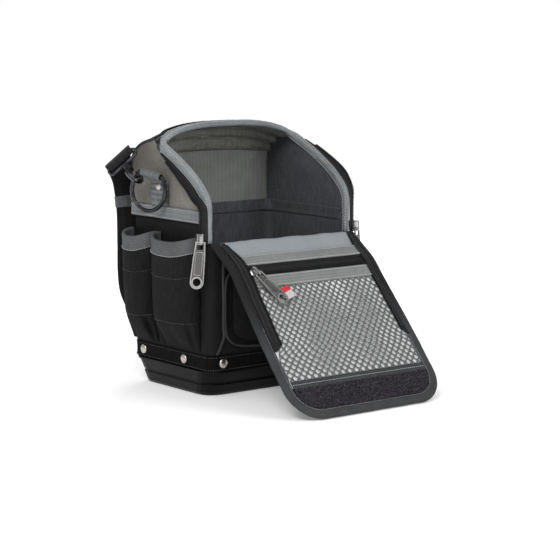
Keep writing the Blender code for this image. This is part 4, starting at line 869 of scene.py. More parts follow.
def pocket_point(side, front, back, u, height, bulge, stand_off):
    """Round wall between two seams: nearly flat across its middle, with tight corners."""
    middle, half = (front + back) / 2, (back - front) / 2 + stand_off
    power, turn = 2 / 2.6, math.pi * u
    along = -math.copysign(abs(math.cos(turn)) ** power, math.cos(turn))
    out = abs(math.sin(turn)) ** power
    return Vector((side * (half_width + gap + (bulge + stand_off) * out), middle + half * along, height))


def crease(u, place, width):
    return math.exp(-((u - place) / width) ** 2)


def pocket_wall(side, front, back, creases):
    def place(u, v):
        rim = rim_height(u)
        sag = 1.5 * MM * math.sin(math.pi * u) ** 2
        height = pocket_foot + (rim - 0.3 * MM - pocket_foot) * v
        share = max(0.0, min(1.0, (height - pocket_foot) / ((pocket_rim_z - pocket_foot) * 0.34)))
        bulge = pocket_foot_bulge + (pocket_bulge - pocket_foot_bulge) * math.sin(share * math.pi / 2)
        low_share = 1 - ease(height, pocket_foot + 8 * MM, lower_hem + 8 * MM)
        pleat = sum(deep * crease(u, at + lean * (height - pocket_foot) / 0.03, wide)
                    for at, wide, deep, lean in creases)
        stand = -min(pleat * low_share, 0.75) * bulge
        stand += 0.9 * MM * ease(height, upper_hem - sag - 0.4 * MM, upper_hem - sag + 0.4 * MM)
        stand -= 0.8 * MM * crease(height + sag, lower_hem, 1.2 * MM)
        stand -= 0.9 * MM
        stand += rough(u * 0.1, height, front + side, 0.022, 1.5 * MM) * math.sin(math.pi * v)
        stand += rough(u * 0.1, height * 0.3, front - side, 0.012, 0.5 * MM) * ease(v, 0.1, 0.4)
        return pocket_point(side, front, back, u, height, bulge, stand)
    return place


def pocket_binding(side, front, back):
    """Tape folded over the rim: short inside, longer outside."""
    profile = [(-3.4, -11.0), (-3.6, -2.0), (-3.2, 0.6), (-1.6, 1.6), (0.2, 1.0), (0.8, -0.8), (0.7, -3.0),
               (0.7, -9.0), (0.8, -14.0), (0.9, -16.2), (0.3, -16.6)]

    def place(u, v):
        index = v * (len(profile) - 1)
        low = min(int(index), len(profile) - 2)
        (a, b), (c, d) = profile[low], profile[low + 1]
        stand, drop = a + (c - a) * (index - low), b + (d - b) * (index - low)
        wave = rough(u * 0.1, drop * MM, front + side, 0.02, 0.9 * MM)
        height = rim_height(u) + drop * MM
        return pocket_point(side, front, back, u, height, pocket_bulge, stand * MM + wave)
    return place


pockets = []
for side, label in SIDES:
    for kind in ("wide", "narrow"):
        low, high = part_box("pocket_" + kind + "_" + label)
        front, back = low.y + 0.2 * MM, high.y - 0.2 * MM
        girth = 2 * pocket_bulge + back - front
        creases = [(0.74, 0.06, 0.62, 0.02), (0.22, 0.05, 0.4, -0.02), (0.46, 0.05, 0.16, 0.03)]
        if kind == "narrow":
            creases = [(0.20, 0.07, 0.6, 0.03), (0.72, 0.06, 0.35, -0.03)]
        name = "pocket_" + kind
        place = pocket_wall(side, front, back, creases)
        wall = surface(name + "_cloth_" + label, 56, pocket_rows, place, (girth, 0.134), black_twill,
                       facing=(side, 0, 0), wall=1.5 * MM, levels=1, lining=inner_cloth)
        settle(wall, "bag", "black_fabric", "pocket_" + kind + "_" + label)
        tape = pocket_binding(side, front, back)
        bound = surface(name + "_tape_" + label, 48, 20, tape, (girth, 0.028), rim_web,
                        facing=(side, 0, 0), wall=0.7 * MM, levels=1)
        settle(bound, "bag", "grey_webbing", "pocket_binding_" + kind + "_" + label)
        rows = [seam(tape, row(0.885, 0.03, 0.97), (side, 0, 0), 0.15 * MM)]
        stitches(name + "_tape_stitches_" + label, rows, "bag", "grey_webbing", pale_thread)
        hems = [seam(place, row(v, 0.04, 0.96), (side, 0, 0), 0.15 * MM) for v in (0.672, 0.262)]
        stitches(name + "_hem_stitches_" + label, hems, "bag", "black_fabric", dark_thread)
        pockets.append(wall.name)
print("pockets", pockets)

# %% [markdown]
# The hood's mouth is one line seen from the side: straight up from the front wall, a tight turn at
# the shoulder, then a long slope to the peak. Gussets, lip and zips all follow this line.

# %% Hood lines
mouth_knots = [(0, 0), (0, 0.17), (0, 0.32), (0.008, 0.395), (0.045, 0.470), (0.130, 0.555), (0.270, 0.660),
               (0.450, 0.762), (0.655, 0.862), (0.860, 0.947), (1, 1)]
hood_top = 295 * MM
hood_front = 22 * MM
hood_crown = 19 * MM
mouth_reach, mouth_rise = hood_front + half_depth, hood_top - front_top
mouth_path = [(0, -half_depth + r * mouth_reach, front_top + h * mouth_rise) for r, h in mouth_knots]
mouth = evenly(curve_through(mouth_path, 8), mouth_steps)
back_knots = [(1, 0), (1, 0.64), (0.96, 0.77), (0.87, 0.86), (0.72, 0.93), (0.52, 0.98)]
back_path = [(0, half_depth * r, side_top + gap + s * (hood_top - side_top)) for r, s in back_knots]
back_line = curve_through(back_path, 7)


def inward(index):
    """From the mouth's edge into the side panel."""
    along = (mouth[min(index + 1, mouth_steps)] - mouth[max(index - 1, 0)]).normalized()
    return Vector((0, along.z, -along.y))


def crown(x, half_span):
    return hood_crown * (1 - min(1.0, abs(x / half_span)) ** 3)


def arch(count, y, z, half_span):
    """Line over the hood's top from left to right."""
    xs = [half_span * (2 * i / count - 1) for i in range(count + 1)]
    return [Vector((x, y, z + crown(x, half_width))) for x in xs]


print("mouth", [round(v, 3) for v in mouth[-1]])

# %% [markdown]
# The gussets are the hood's flat sides: a fine taupe cloth outside, charcoal inside. The cloth
# hangs between lip and back edge with a shallow slack, and a cord is sewn along its back edge.

# %% Gussets
low_index = next(i for i, point in enumerate(mouth) if point.z > side_top + binding_depth)
front_edge = [Vector((0, -half_depth + binding_depth + gap, side_top + gap))]
front_edge += [mouth[i] + inward(i) * (binding_depth - 1 * MM) for i in range(low_index, mouth_steps)]
front_edge = evenly(front_edge, gusset_steps)
back_edge = evenly(back_line + [Vector((0, hood_front + binding_depth + 1 * MM, hood_top - 0.4 * MM))],
                   gusset_steps)


def gusset(side):
    def place(u, v):
        i = round(v * gusset_steps)
        point = front_edge[i].lerp(back_edge[i], u)
        slack = math.sin(math.pi * u) * math.sin(math.pi * min(v * 1.1, 1.0))
        dent = slack * (1.6 * MM + rough(point.y, point.z, side, 0.035, 2.4 * MM))
        return Vector((side * (half_width - 0.3 * MM - max(0.0, dent)), point.y, point.z))
    return place


for side, label in SIDES:
    made = surface("gusset_" + label + "_cloth", 40, gusset_steps, gusset(side), (0.13, 0.12), taupe_cloth,
                   facing=(side, 0, 0), wall=1.6 * MM, lining=inner_cloth)
    settle(made, "bag", "taupe_fabric", "gusset_" + label)
    path = [Vector((side * (half_width - 1.2 * MM), p.y - 0.4 * MM, p.z)) for p in back_edge]
    cord = strip("gusset_cord_" + label, stations(path, (side, 0, 0)), round_section(2.1 * MM, 10), edge_tape)
    settle(cord, "bag", "black_fabric")
    rows = [seam(gusset(side), [(u, i / gusset_steps) for i in range(2, 46)], (side, 0, 0))
            for u in (0.035, 0.955)]
    stitches("gusset_stitches_" + label, rows, "bag", "taupe_fabric", dark_thread)
print("gussets ready")

# %% [markdown]
# The hood's top and upper back are one curved panel, black outside. Inside, two rolls of soft olive
# cloth run behind the lip, and below them the back is lined in ribbed cloth.

# %% Hood panel and lining
hood_half = half_width - gusset_thickness - gap
hood_curve = evenly(back_line + [Vector((0, hood_front + binding_depth + 1.2 * MM, hood_top))], hood_steps)


def hood_lift(x, z):
    """The hood's crown, which sets in over its upper part."""
    share = (z - hood_curve[0].z) / (hood_top - hood_curve[0].z)
    return crown(x, half_width) * min(1.0, max(0.0, share - 0.6) / 0.35)


def hood_point(u, v, inset):
    """Point on the hood, inset from its outer face."""
    i = round(v * hood_steps)
    point = hood_curve[i]
    along = (hood_curve[min(i + 1, hood_steps)] - hood_curve[max(i - 1, 0)]).normalized()
    x = hood_half * (2 * u - 1)
    return Vector((x, point.y - along.z * inset, point.z + along.y * inset + hood_lift(x, point.z)))


def hood_cloth(u, v):
    dent = math.sin(math.pi * u) * math.sin(math.pi * v)
    slack = dent * (0.6 * MM + rough(u * 0.2, v * 0.1, 0, 0.03, 1.4 * MM))
    return hood_point(u, v, 0.3 * MM + max(0.0, slack))


hood = surface("hood_cloth", 44, hood_steps, hood_cloth, (0.2, 0.12), black_cloth, facing=(0, 1, 1),
               wall=2.0 * MM, lining=ribbed_lining, levels=1)
settle(hood, "bag", "black_fabric", "hood_shell")
rows = [seam(hood_cloth, row(v), (0, 1, 1)) for v in (0.04, 0.34)]
stitches("hood_seams", rows, "bag", "black_fabric", dark_thread)


def olive_band(low_v, high_v, swell):
    """Soft roll across the inside of the hood, between two seams."""
    def place(u, v):
        at = low_v + (high_v - low_v) * v
        i = at * hood_steps
        low = math.floor(i)
        a, b = (hood_point(u, j / hood_steps, 2.4 * MM) for j in (low, min(low + 1, hood_steps)))
        point = a.lerp(b, i - low)
        out = swell * max(0.0, math.sin(math.pi * v)) ** 0.5 * (1 + rough(u * 0.2, at, 3, 0.02, 0.5))
        return point + Vector((0, -out * 0.8, -out * 0.6))
    return place


rolls = ((0.545, 0.652, 5.0 * MM), (0.66, 0.775, 5.5 * MM), (0.785, 1.0, 6.0 * MM))
for index, shape in enumerate(rolls, 1):
    roll = surface("lining_roll_" + str(index), 44, 10, olive_band(*shape), (0.2, 0.02), olive_roll,
                   facing=(0, -1, -1), wall=1.0 * MM, levels=1)
    settle(roll, "bag", "black_fabric")
low_ring = round_box(half_width - 3.2 * MM, half_depth - 3.2 * MM, corner_radius)
high_ring = round_box(hood_half - 0.2 * MM, half_depth - 2.6 * MM, 2 * MM)
ring_half = ring_steps // 2
ring_order = [i for i in (*range(ring_half + 1, ring_steps + 1), *range(1, ring_half))
              if low_ring[i].y > lip_back + 0.5 * MM]


def seam_tape(u, v):
    """Tape inside the seam between body and hood, from the rounded shell up to the hood's square corners."""
    i = ring_order[round(u * (len(ring_order) - 1))]
    point = low_ring[i].lerp(high_ring[i], ease(v, 0.35, 0.9))
    height = side_top - 8 * MM + 15 * MM * v + rough(point.x, point.y, 0, 0.03, 0.5 * MM)
    return Vector((point.x, point.y, height))


made = surface("seam_tape", len(ring_order) - 1, 8, seam_tape, (0.5, 0.015), inner_cloth,
               facing=(0, -1, 0), wall=0.8 * MM)
settle(made, "bag", "black_fabric")
print("hood ready")

# %% [markdown]
# The lip is a light padded band folded over the mouth's edge. Its foam is thick in the middle and
# flat at its two rows of stitches, and where the band turns the top corner it puckers.

# %% Lip
lip_middle = (half_width + (lip_thickness - gusset_thickness) / 2) - lip_thickness / 2
left_lip, left_sides = [], []
for i in range(1, 59):
    left_lip.append(mouth[i] + inward(i) * (binding_depth / 2) + Vector((-lip_middle, 0, 0)))
    left_sides.append(inward(i))
left_lip[0].z = front_top + gap
top_lip = arch(36, hood_front + binding_depth / 2, hood_top - lip_thickness / 2, half_width - binding_depth)
right_lip = [Vector((-p.x, p.y, p.z)) for p in reversed(left_lip)]
lip_path = left_lip + top_lip + right_lip
lip_sides = left_sides + [Vector((0, 1, 0))] * len(top_lip) + list(reversed(left_sides))
rounded_path = list(lip_path)
for _ in range(3):
    threes = zip(rounded_path, rounded_path[1:], rounded_path[2:])
    rounded_path = [rounded_path[0]] + [(a + b * 2 + c) / 4 for a, b, c in threes] + [rounded_path[-1]]
lip_rail = stations(rounded_path, lip_sides)
corner_places = [len(left_lip), len(left_lip) + len(top_lip)]


def lip_section():
    """Foam swells between the seams and stays flat at them."""
    w, t = binding_depth * 0.57, lip_thickness * 0.56
    side = [(0.96, 0.55), (0.86, 0.80), (0.74, 0.74), (0.66, 0.72), (0.56, 0.82), (0.36, 0.97)]
    half = [(w, 0.0)] + [(w * a, t * b) for a, b in side] + [(0.0, t)]
    half += [(-w * a, t * b) for a, b in reversed(side)]
    return half + [(-a, -b) for a, b in half]


lip_widths = []
for i in range(len(lip_rail)):
    near = min(abs(i - place) for place in corner_places)
    pucker = 0.17 * math.cos(i * 2.4) * math.exp(-(near / 5.0) ** 2)
    foot = min(i, len(lip_rail) - 1 - i)
    drawn_in = 0.2 * ease(i, corner_places[1] - 6, corner_places[1] + 6)
    swollen = 1.0 + pucker + rough(i * 0.01, 0, 0, 0.05, 0.10)
    lip_widths.append((0.75 + 0.27 * ease(foot, 2, 22) - drawn_in, swollen))
lip = strip("lip", lip_rail, lip_section(), lip_cloth, widths=lip_widths, levels=1)
settle(lip, "bag", "lip_fabric", "lip_binding")
rows = []
for face in (-1, 1):
    for across in (-0.7, 0.7):
        rows.append([(p + wide * (across * share * binding_depth * 0.57)
                      + thick * (face * lip_thickness * 0.42 * swell), thick * face)
                     for (p, wide, thick), (share, swell) in zip(lip_rail, lip_widths)])
stitches("lip_stitches", rows, "bag", "lip_fabric", pale_thread,
         pitch=3.4 * MM, length=2.2 * MM, thick=0.5 * MM)
print("lip", len(lip_path), "stations")

# %% [markdown]
# Half of the main zip stands out beside each lip: a cloth tape with its teeth along the free edge.
# One tooth is modelled and laid along the tape at the pitch of a coarse zip.

# %% Main zips
tape_width, flare = 8 * MM, math.radians(25)
tape_root = half_width + (lip_thickness - gusset_thickness) / 2 + gap
tooth_pitch = 1.9 * MM


def tooth(long, wide, thick):
    """Block with rounded corners, lying across the tape's edge."""
    bpy.ops.object.select_all(action="DESELECT")
    bpy.ops.mesh.primitive_cube_add(size=1)
    block = bpy.context.object
    block.data.transform(Matrix.Diagonal((wide, long, thick, 1)))
    modify(block, "BEVEL", width=min(wide, thick) * 0.28, segments=1)
    return block


def lay_teeth(name, line, run, normal_at, block, body):
    """Teeth along a line, as many as a run of that length holds."""
    line = evenly(line, int(run / tooth_pitch))
    places = [frame_at(a, b - a, normal_at(a)) for a, b in zip(line, line[1:])]
    settle(repeat(name, tooth(*block), places, tooth_plastic), body, "zip_black")


for side, label in SIDES:
    path, sides = [], []
    for i in range(56):
        high = ease(mouth[i].z, 217 * MM, 243 * MM)
        start = mouth[i] + inward(i) * (1.8 + (8.7 if side < 0 else 0.6) * high) * MM
        z = max(start.z, front_top + gap)
        path.append(Vector((side * (tape_root - 0.2 * MM), start.y, z)))
        turn = flare if side < 0 else flare * (1 - 1.7 * ease(mouth[i].z, 215 * MM, 262 * MM))
        sides.append(Vector((side * math.cos(turn), 0, 0)) + inward(i) * math.sin(turn))
    rail = stations(path, sides)
    wider = 0.22 if side > 0 else 0.0
    ending = [min(1.0 + wider * ease(p.z, 216 * MM, 256 * MM), 0.3 + (len(rail) - 1 - i) / 30)
              for i, (p, _, _) in enumerate(rail)]
    section = [(a + tape_width / 2, b) for a, b in band_section(tape_width + 0.6 * MM, 0.9 * MM)]
    tape = strip("main_zip_tape_" + label, rail, section, zip_cloth, widths=[(share, 1.0) for share in ending])
    settle(tape, "bag", "zip_black", "main_zip_" + label)
    edge = [p + wide * (tape_width * share + 1.0 * MM) for (p, wide, _), share in zip(rail, ending)]
    lay_teeth("main_zip_teeth_" + label, edge[:50], 0.155,
              lambda point: min(rail, key=lambda station: (station[0] - point).length)[2],
              (2.9 * MM, 1.15 * MM, 2.6 * MM), "bag")
    cord_path = [p + wide * (tape_width * share + 0.1 * MM) for (p, wide, _), share in zip(rail[:50], ending)]
    cord = strip("main_zip_cord_" + label, stations(cord_path, [wide for _, wide, _ in rail[:50]]),
                 round_section(0.75 * MM, 6), zip_cloth)
    settle(cord, "bag", "zip_black")
    rows = [[(p + wide * 2.0 * MM + thick * face * 0.5 * MM, thick * face) for p, wide, thick in rail[2:50]]
            for face in (1, -1)]
    stitches("main_zip_stitches_" + label, rows, "bag", "zip_black", dark_thread,
             pitch=2.6 * MM, length=1.8 * MM, thick=0.3 * MM)
print("main zips ready")

# %% [markdown]
# A grey band of webbing closes the lower edge of each gusset. The strip of hooks on the hood waits
# for the pile at the flap's tip.

# %% Side bands and hook strip
for side, label in SIDES:
    low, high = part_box("side_band_" + label)
    middle_x = (low.x + high.x) / 2
    middle_z = (low.z + high.z) / 2
    path = evenly([Vector((middle_x, low.y, middle_z)), Vector((middle_x, high.y - 1 * MM, middle_z))], 30)
    path = [p + Vector((side * rough(p.y, side, 0, 0.03, 0.25 * MM), 0, rough(p.y, 0, side, 0.05, 0.5 * MM)))
            for p in path]
    rail = stations(path, (0, 0, 1))
    settle(strip("side_band_web_" + label, rail, band_section(high.z - low.z, 1.2 * MM), band_web), "bag",
           "grey_webbing", "side_band_" + label)
    rows = [[(p + Vector((side * 0.75 * MM, 0, drop)), Vector((side, 0, 0))) for p, _, _ in rail]
            for drop in (-5.6 * MM, 5.8 * MM)]
    stitches("side_band_stitches_" + label, rows, "bag", "grey_webbing", pale_thread, pitch=2.9 * MM)


def on_hood(x, y):
    """Height of the hood's outer face."""
    for a, b in zip(hood_curve, hood_curve[1:]):
        if b.y <= y <= a.y:
            z = a.z + (b.z - a.z) * (y - a.y) / (b.y - a.y)
            return z + hood_lift(x, z)
    return hood_top


def hook_strip(u, v):
    x, y = 150 * MM * (u - 0.5), hood_front + 22 * MM + 26 * MM * v
    return Vector((x, y, on_hood(x, y) + 1.6 * MM + rough(x, y, 0, 0.004, 0.35 * MM)))


made = surface("hook_strip", 60, 14, hook_strip, (0.15, 0.026), hook_pile, facing=(0, 0, 1), wall=1.2 * MM)
settle(made, "bag", "loop_pile", "hood_hook_strip")
rim = [(0.02 + 0.96 * i / 40, 0.06) for i in range(41)] + [(0.98, 0.06 + 0.88 * i / 10) for i in range(11)]
rim += [(0.98 - 0.96 * i / 40, 0.94) for i in range(41)] + [(0.02, 0.94 - 0.88 * i / 10) for i in range(11)]
stitches("hook_strip_stitches", [seam(hook_strip, rim, (0, 0, 1))], "bag", "loop_pile", black_thread)
print("bands ready")

# %% [markdown]
# Each ring hangs in a fold of webbing. The fold goes up the gusset, over the ring's straight bar and
# back down, where a rivet and a bar of stitches close it. Its legs widen towards the grey band.

# %% Ring loops
def half_turn(centre, start, over, radius, steps=10, share=1.0):
    """Arc from the start side of a bar over its top to the far side."""
    turns = [math.pi * share * i / steps for i in range(steps + 1)]
    return [centre + radius * (math.cos(turn) * start + math.sin(turn) * over) for turn in turns]


def mirrored(point, side):
    return Vector((-side * point[0], point[1], point[2]))


up = Vector((0, 0, 1))
ring_wire, fold_gap = 2.5 * MM, 0.6 * MM
bar = Vector(joints["ring_hinge_left"]["pos_m"])
ring_along = Vector(joints["ring_hinge_left"]["axis"]).normalized()
level = Vector((ring_along.x, ring_along.y, 0)).normalized()
ring_out = up.cross(level)
ring_rise = ring_along.cross(ring_out)
loop_thick, loop_width, loop_y = 1.4 * MM, 28 * MM, 17.5 * MM
fold = ring_wire + fold_gap + loop_thick / 2
loop_foot = Vector((-half_width - 0.7 * MM - loop_thick / 2, loop_y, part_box("side_band_left")[1].z + gap))
loop_knee = loop_foot + up * 30 * MM
step_out = Vector((-loop_thick - gap, 0, 0))
loop_turn = half_turn(bar, -ring_out, ring_rise, fold, share=1.35)
loop_path = [loop_foot, loop_knee] + loop_turn
loop_path += [loop_knee + step_out * 1.15 - up * loop_thick, loop_foot + step_out]
loop_sides = [Vector((0, 1, 0))] * 2 + [ring_along] * len(loop_turn) + [Vector((0, 1, 0))] * 2
loop_shares = [1.12, 1.12] + [1.0] * len(loop_turn) + [1.12, 1.12]


def refine(points, sides, shares, steps=4):
    """A finer rail: points, sides and width shares between the given ones."""
    made = ([], [], [])
    for i in range(len(points) - 1):
        for k in range(steps):
            t = k / steps
            made[0].append(points[i].lerp(points[i + 1], t))
            made[1].append(sides[i].lerp(sides[i + 1], t))
            made[2].append(shares[i] + (shares[i + 1] - shares[i]) * t)
    return made[0] + [points[-1]], made[1] + [sides[-1]], made[2] + [shares[-1]]


for side, label in SIDES:
    path, sides, shares = refine(loop_path, loop_sides, loop_shares)
    rail = stations([mirrored(p, side) for p in path], [mirrored(s, side) for s in sides])
    made = strip("ring_webbing_" + label, rail, band_section(loop_width, loop_thick, 0.8), grey_web,
                 widths=[(share, 1.0) for share in shares])
    settle(made, "bag", "grey_webbing", "ring_loop_" + label)
    face = loop_foot.x + step_out.x - loop_thick / 2
    spot = Vector((-side * face, loop_y, loop_foot.z + 22.8 * MM))
    frames = [frame_at(spot - Vector((side * 0.3 * MM, 0, 0)), up, Vector((side, 0, 0)))]
    settle(repeat("loop_rivet_" + label, rivet(4.7 * MM, 1.9 * MM), frames, rivet_nickel), "bag", "nickel")
    ys = [loop_y + loop_width * 0.5 * (2 * i / 12 - 1) for i in range(13)]
    rows = [[(Vector((-side * (face - 0.05 * MM), y, loop_foot.z + height * MM)), Vector((side, 0, 0)))
             for y in ys] for height in (28.4, 1.6)]
    stitches("loop_stitches_" + label, rows, "bag", "grey_webbing", pale_thread,
             pitch=2.6 * MM, length=1.9 * MM, thick=0.5 * MM)
print("ring loops ready")

# %% [markdown]
# The shoulder strap is one length of black webbing. It folds round each hook's eye and is sewn back
# on itself, climbs behind the hood's corner, and its middle hangs down behind the body.

# %% Shoulder strap
hook_axis = Vector(joints["hook_swivel_left"]["axis"]).normalized()
eye = Vector(joints["hook_swivel_left"]["pos_m"]) + hook_axis * 16.5 * MM
hood_peak = hood_top + hood_crown
strap_shares = (
    (-1.175, 1.06, 0.866, (0.70, -0.30, 0.64)),
    (-1.040, 1.25, 0.834, (0.85, -0.05, 0.50)),
    (-0.930, 1.31, 0.762, (1.0, 0.0, 0.10)),
    (-0.895, 1.29, 0.650, (1.0, 0.0, 0.0)),
    (-0.905, 1.26, 0.525, (1.0, 0.0, 0.0)),
    (-0.915, 1.24, 0.420, (1.0, 0.0, 0.03)),
    (-0.880, 1.24, 0.340, (0.94, 0.0, 0.35)),
    (-0.740, 1.24, 0.268, (0.70, 0.0, 0.71)),
    (-0.500, 1.25, 0.235, (0.28, 0.0, 0.96)),
    (-0.250, 1.26, 0.225, (0.08, 0.0, 1.0)),
)
strap_half = [(Vector((x * half_width, y * half_depth, z * hood_peak)), Vector(s).normalized())
              for x, y, z, s in strap_shares]
strap_wide = Vector((0.649, -0.473, 0.597))
strap_wide = (strap_wide - hook_axis * strap_wide.dot(hook_axis)).normalized()
leave = strap_half[0][0] - eye
leave = (leave - strap_wide * leave.dot(strap_wide)).normalized()
flat = leave.cross(strap_wide).normalized()
flat = -flat if flat.dot(hook_axis) > 0 else flat
strap_thick, strap_width = 1.8 * MM, 36 * MM
eye_fold = 1.8 * MM + fold_gap + strap_thick / 2
fold_path = half_turn(eye, -flat, -leave, eye_fold, steps=12)
strap_start = fold_path[-1] + leave * eye_fold
strap_tail = fold_path[0] + leave * 14 * MM
centre_point = Vector((0, strap_half[-1][0].y, strap_half[-1][0].z))
half_route = [(strap_start, strap_wide)] + strap_half
strap_knots = [p for p, _ in half_route] + [centre_point] + [mirrored(p, 1) for p, _ in reversed(half_route)]
strap_turns = [w for _, w in half_route] + [up] + [mirrored(w, 1) for _, w in reversed(half_route)]
strap_steps = 8
strap_body = curve_through(strap_knots, strap_steps)
body_sides = []
for i in range(len(strap_body)):
    leg = min(i // strap_steps, len(strap_turns) - 2)
    share = i / strap_steps - leg
    share = share * share * (3 - 2 * share) * 0.5 + share * 0.5
    body_sides.append(strap_turns[leg].lerp(strap_turns[leg + 1], share))
fold_here = [strap_tail] + fold_path
strap_path = fold_here + strap_body + [mirrored(p, 1) for p in reversed(fold_here)]
strap_sides = [strap_wide] * len(fold_here) + body_sides + [mirrored(strap_wide, 1)] * len(fold_here)
strap_rail = stations(strap_path, strap_sides)
made = strip("shoulder_strap_web", strap_rail, band_section(strap_width, strap_thick, 0.7), black_web)
settle(made, "bag", "black_webbing", "shoulder_strap")
for side, label in SIDES:
    box_rows = []
    start, end, across = (mirrored(v, side) for v in (strap_tail, fold_path[0], strap_wide.normalized()))
    out_dir = mirrored(-flat, side)
    for share in (0.18, 0.82):
        middle = start.lerp(end, share) + out_dir * (strap_thick / 2)
        box_rows.append([(middle + across * (strap_width * 0.42 * (2 * i / 12 - 1)), out_dir)
                         for i in range(13)])
    stitches("strap_stitches_" + label, box_rows, "bag", "black_webbing", dark_thread, pitch=2.8 * MM)
for side, label in SIDES:
    sleeve = [(p, w, t) for p, w, t in strap_rail if 205 * MM < p.z < 226 * MM and p.x * side > 0]
    spots = [frame for frame in sleeve if (frame[0] - sleeve[0][0]).length < 40 * MM]
    section = band_section(strap_width + 1.6 * MM, strap_thick + 2.2 * MM, 0.7)
    made = strip("strap_patch_" + label, spots, section, grey_web)
    settle(made, "bag", "grey_webbing")
print("strap", round(sum((b - a).length for a, b in zip(strap_path, strap_path[1:])), 3), "m")

# %% [markdown]
# The carry handle's grip is moulded round a cord whose bare ends turn in two sewn anchors.

# %% Carry handle
handle_pin = Vector(joints["handle_hinge"]["pos_m"])
handle_half, handle_drop, pin_radius, grip_radius = 56 * MM, 40 * MM, 2.8 * MM, 6.5 * MM
anchor_width, anchor_height = 22 * MM, 30 * MM
handle_knots = [
    (handle_half - anchor_width * 1.5, 0), (handle_half - anchor_width * 0.2, 0),
    (handle_half + pin_radius * 0.6, -pin_radius * 1.2), (handle_half + pin_radius, -handle_drop * 0.35),
    (handle_half - pin_radius, -handle_drop * 0.72), (handle_half * 0.72, -handle_drop),
    (handle_half * 0.36, -handle_drop * 1.08),
]
left_run = [Vector((-x, 0, z)) for x, z in handle_knots]
handle_path = left_run + [Vector((0, 0, -handle_drop * 1.1))]
handle_path += [Vector((-p.x, 0, p.z)) for p in reversed(left_run)]
handle_path = [p + handle_pin for p in evenly(curve_through(handle_path, 8), 150)]
widths = []
for i, p in enumerate(handle_path):
    grip = max(0.0, min(1.0, (handle_pin.z - p.z - handle_drop * 0.55) / (handle_drop * 0.12)))
    ridge = 0.05 * math.cos(i * math.tau / 5) * (1.0 if abs(p.x) < handle_half * 0.62 else 0.0)
    size = (pin_radius + (grip_radius - pin_radius) * grip) / grip_radius * (1 + ridge * grip - 0.05 * grip)
    widths.append((size, size))
made = strip("handle_grip", stations(handle_path, (0, 1, 0)), round_section(grip_radius, 20), grip_rubber,
             widths=widths)
settle(made, "handle", "grip_rubber", "carry_handle")
for side, label in SIDES:
    lift = loop_thick / 2
    radius = pin_radius + fold_gap + lift
    x = side * (handle_half - anchor_width * 0.85)
    pin = Vector((x, handle_pin.y, handle_pin.z))
    inner_y = half_depth + gap + lift
    outer_y = inner_y + 2 * lift + gap
    top = handle_pin.z + anchor_height * 0.75
    path = [Vector((x, inner_y, top)), Vector((x, inner_y, handle_pin.z + 2 * radius))]
    path += half_turn(pin, Vector((0, -1, 0)), -up, radius, share=1.28)
    path += [Vector((x, outer_y, handle_pin.z + radius * 2.6)), Vector((x, outer_y, top))]
    path, sides, _ = refine(path, [Vector((1, 0, 0))] * len(path), [1.0] * len(path), 3)
    made = strip("handle_webbing_" + label, stations(path, sides), band_section(anchor_width, loop_thick, 0.8),
                 black_web)
    settle(made, "bag", "black_webbing", "handle_anchor_" + label)
    rows = [[(Vector((x + anchor_width * 0.38 * (2 * i / 8 - 1), outer_y + lift, height)), Vector((0, 1, 0)))
             for i in range(9)] for height in (top - 2.5 * MM, handle_pin.z + radius * 3.4)]
    stitches("handle_stitches_" + label, rows, "bag", "black_webbing", dark_thread, pitch=2.8 * MM)
print("handle ready")

# %% [markdown]
# Inside, a bound divider stands across the bag, with a row of sleeves sewn to its front.

# %% Divider and tool sleeves
div_low, div_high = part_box("inner_divider")
div_y = (div_low.y + div_high.y) / 2
board_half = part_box("inner_tool_pockets")[1].x
flange_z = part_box("base_tub")[1].z


def divider(face):
    def place(u, v):
        z = div_low.z + (div_high.z - div_low.z) * v
        half = board_half + (div_high.x - board_half) * min(1.0, (z - div_low.z) / (flange_z - div_low.z))
        x = half * (2 * u - 1)
        return Vector((x, div_y + face + rough(x, z, 0, 0.04, 0.9 * MM) * math.sin(math.pi * v), z))
    return place


made = surface("divider_cloth", 40, 30, divider(-1.4 * MM), (0.19, 0.135), inner_cloth, facing=(0, -1, 0),
               wall=2.8 * MM)
settle(made, "bag", "hem_fabric", "inner_divider")
low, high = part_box("divider_binding")
middle_z = (low.z + high.z) / 2
path = evenly([Vector((low.x, div_y, middle_z)), Vector((high.x, div_y, middle_z))], 40)
path = [p + Vector((0, rough(p.x, 0, 0, 0.04, 0.5 * MM), 0)) for p in path]
rail = stations(path, (0, 0, 1))
settle(strip("divider_tape", rail, band_section(high.z - low.z, high.y - low.y, 1.0, 4), band_web), "bag",
       "grey_webbing", "divider_binding")
rows = [[(p + Vector((0, face * (high.y - low.y) / 2, -4.4 * MM)), Vector((0, face, 0))) for p, _, _ in rail]
        for face in (-1, 1)]
stitches("divider_stitches", rows, "bag", "grey_webbing")
sleeve_low, sleeve_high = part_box("inner_tool_pockets")


def sleeves(u, v):
    wave = abs(math.sin(math.pi * 4 * u)) ** 0.7
    reach = 14 * MM * wave * (0.55 + 0.45 * v) + 1.8 * MM
    x = sleeve_high.x * (2 * u - 1)
    z = sleeve_low.z + (sleeve_high.z - sleeve_low.z) * v
    return Vector((x, sleeve_high.y - reach + rough(x, z, 5, 0.02, 0.8 * MM) * wave, z - 3 * MM * wave * v))


made = surface("tool_sleeves", 96, 14, sleeves, (0.25, 0.085), black_cloth, facing=(0, -1, 0), wall=1.5 * MM)
settle(made, "bag", "hem_fabric", "inner_tool_pockets")
rows = [seam(sleeves, row(v, 0.01, 0.99, 120), (0, -1, 0)) for v in (0.96, 0.04)]
rows += [seam(sleeves, column(k / 4, 0.03, 0.97, 20), (0, -1, 0), 0.3 * MM) for k in (1, 2, 3)]
stitches("sleeve_stitches", rows, "bag", "hem_fabric", grey_thread)
print("inside ready")

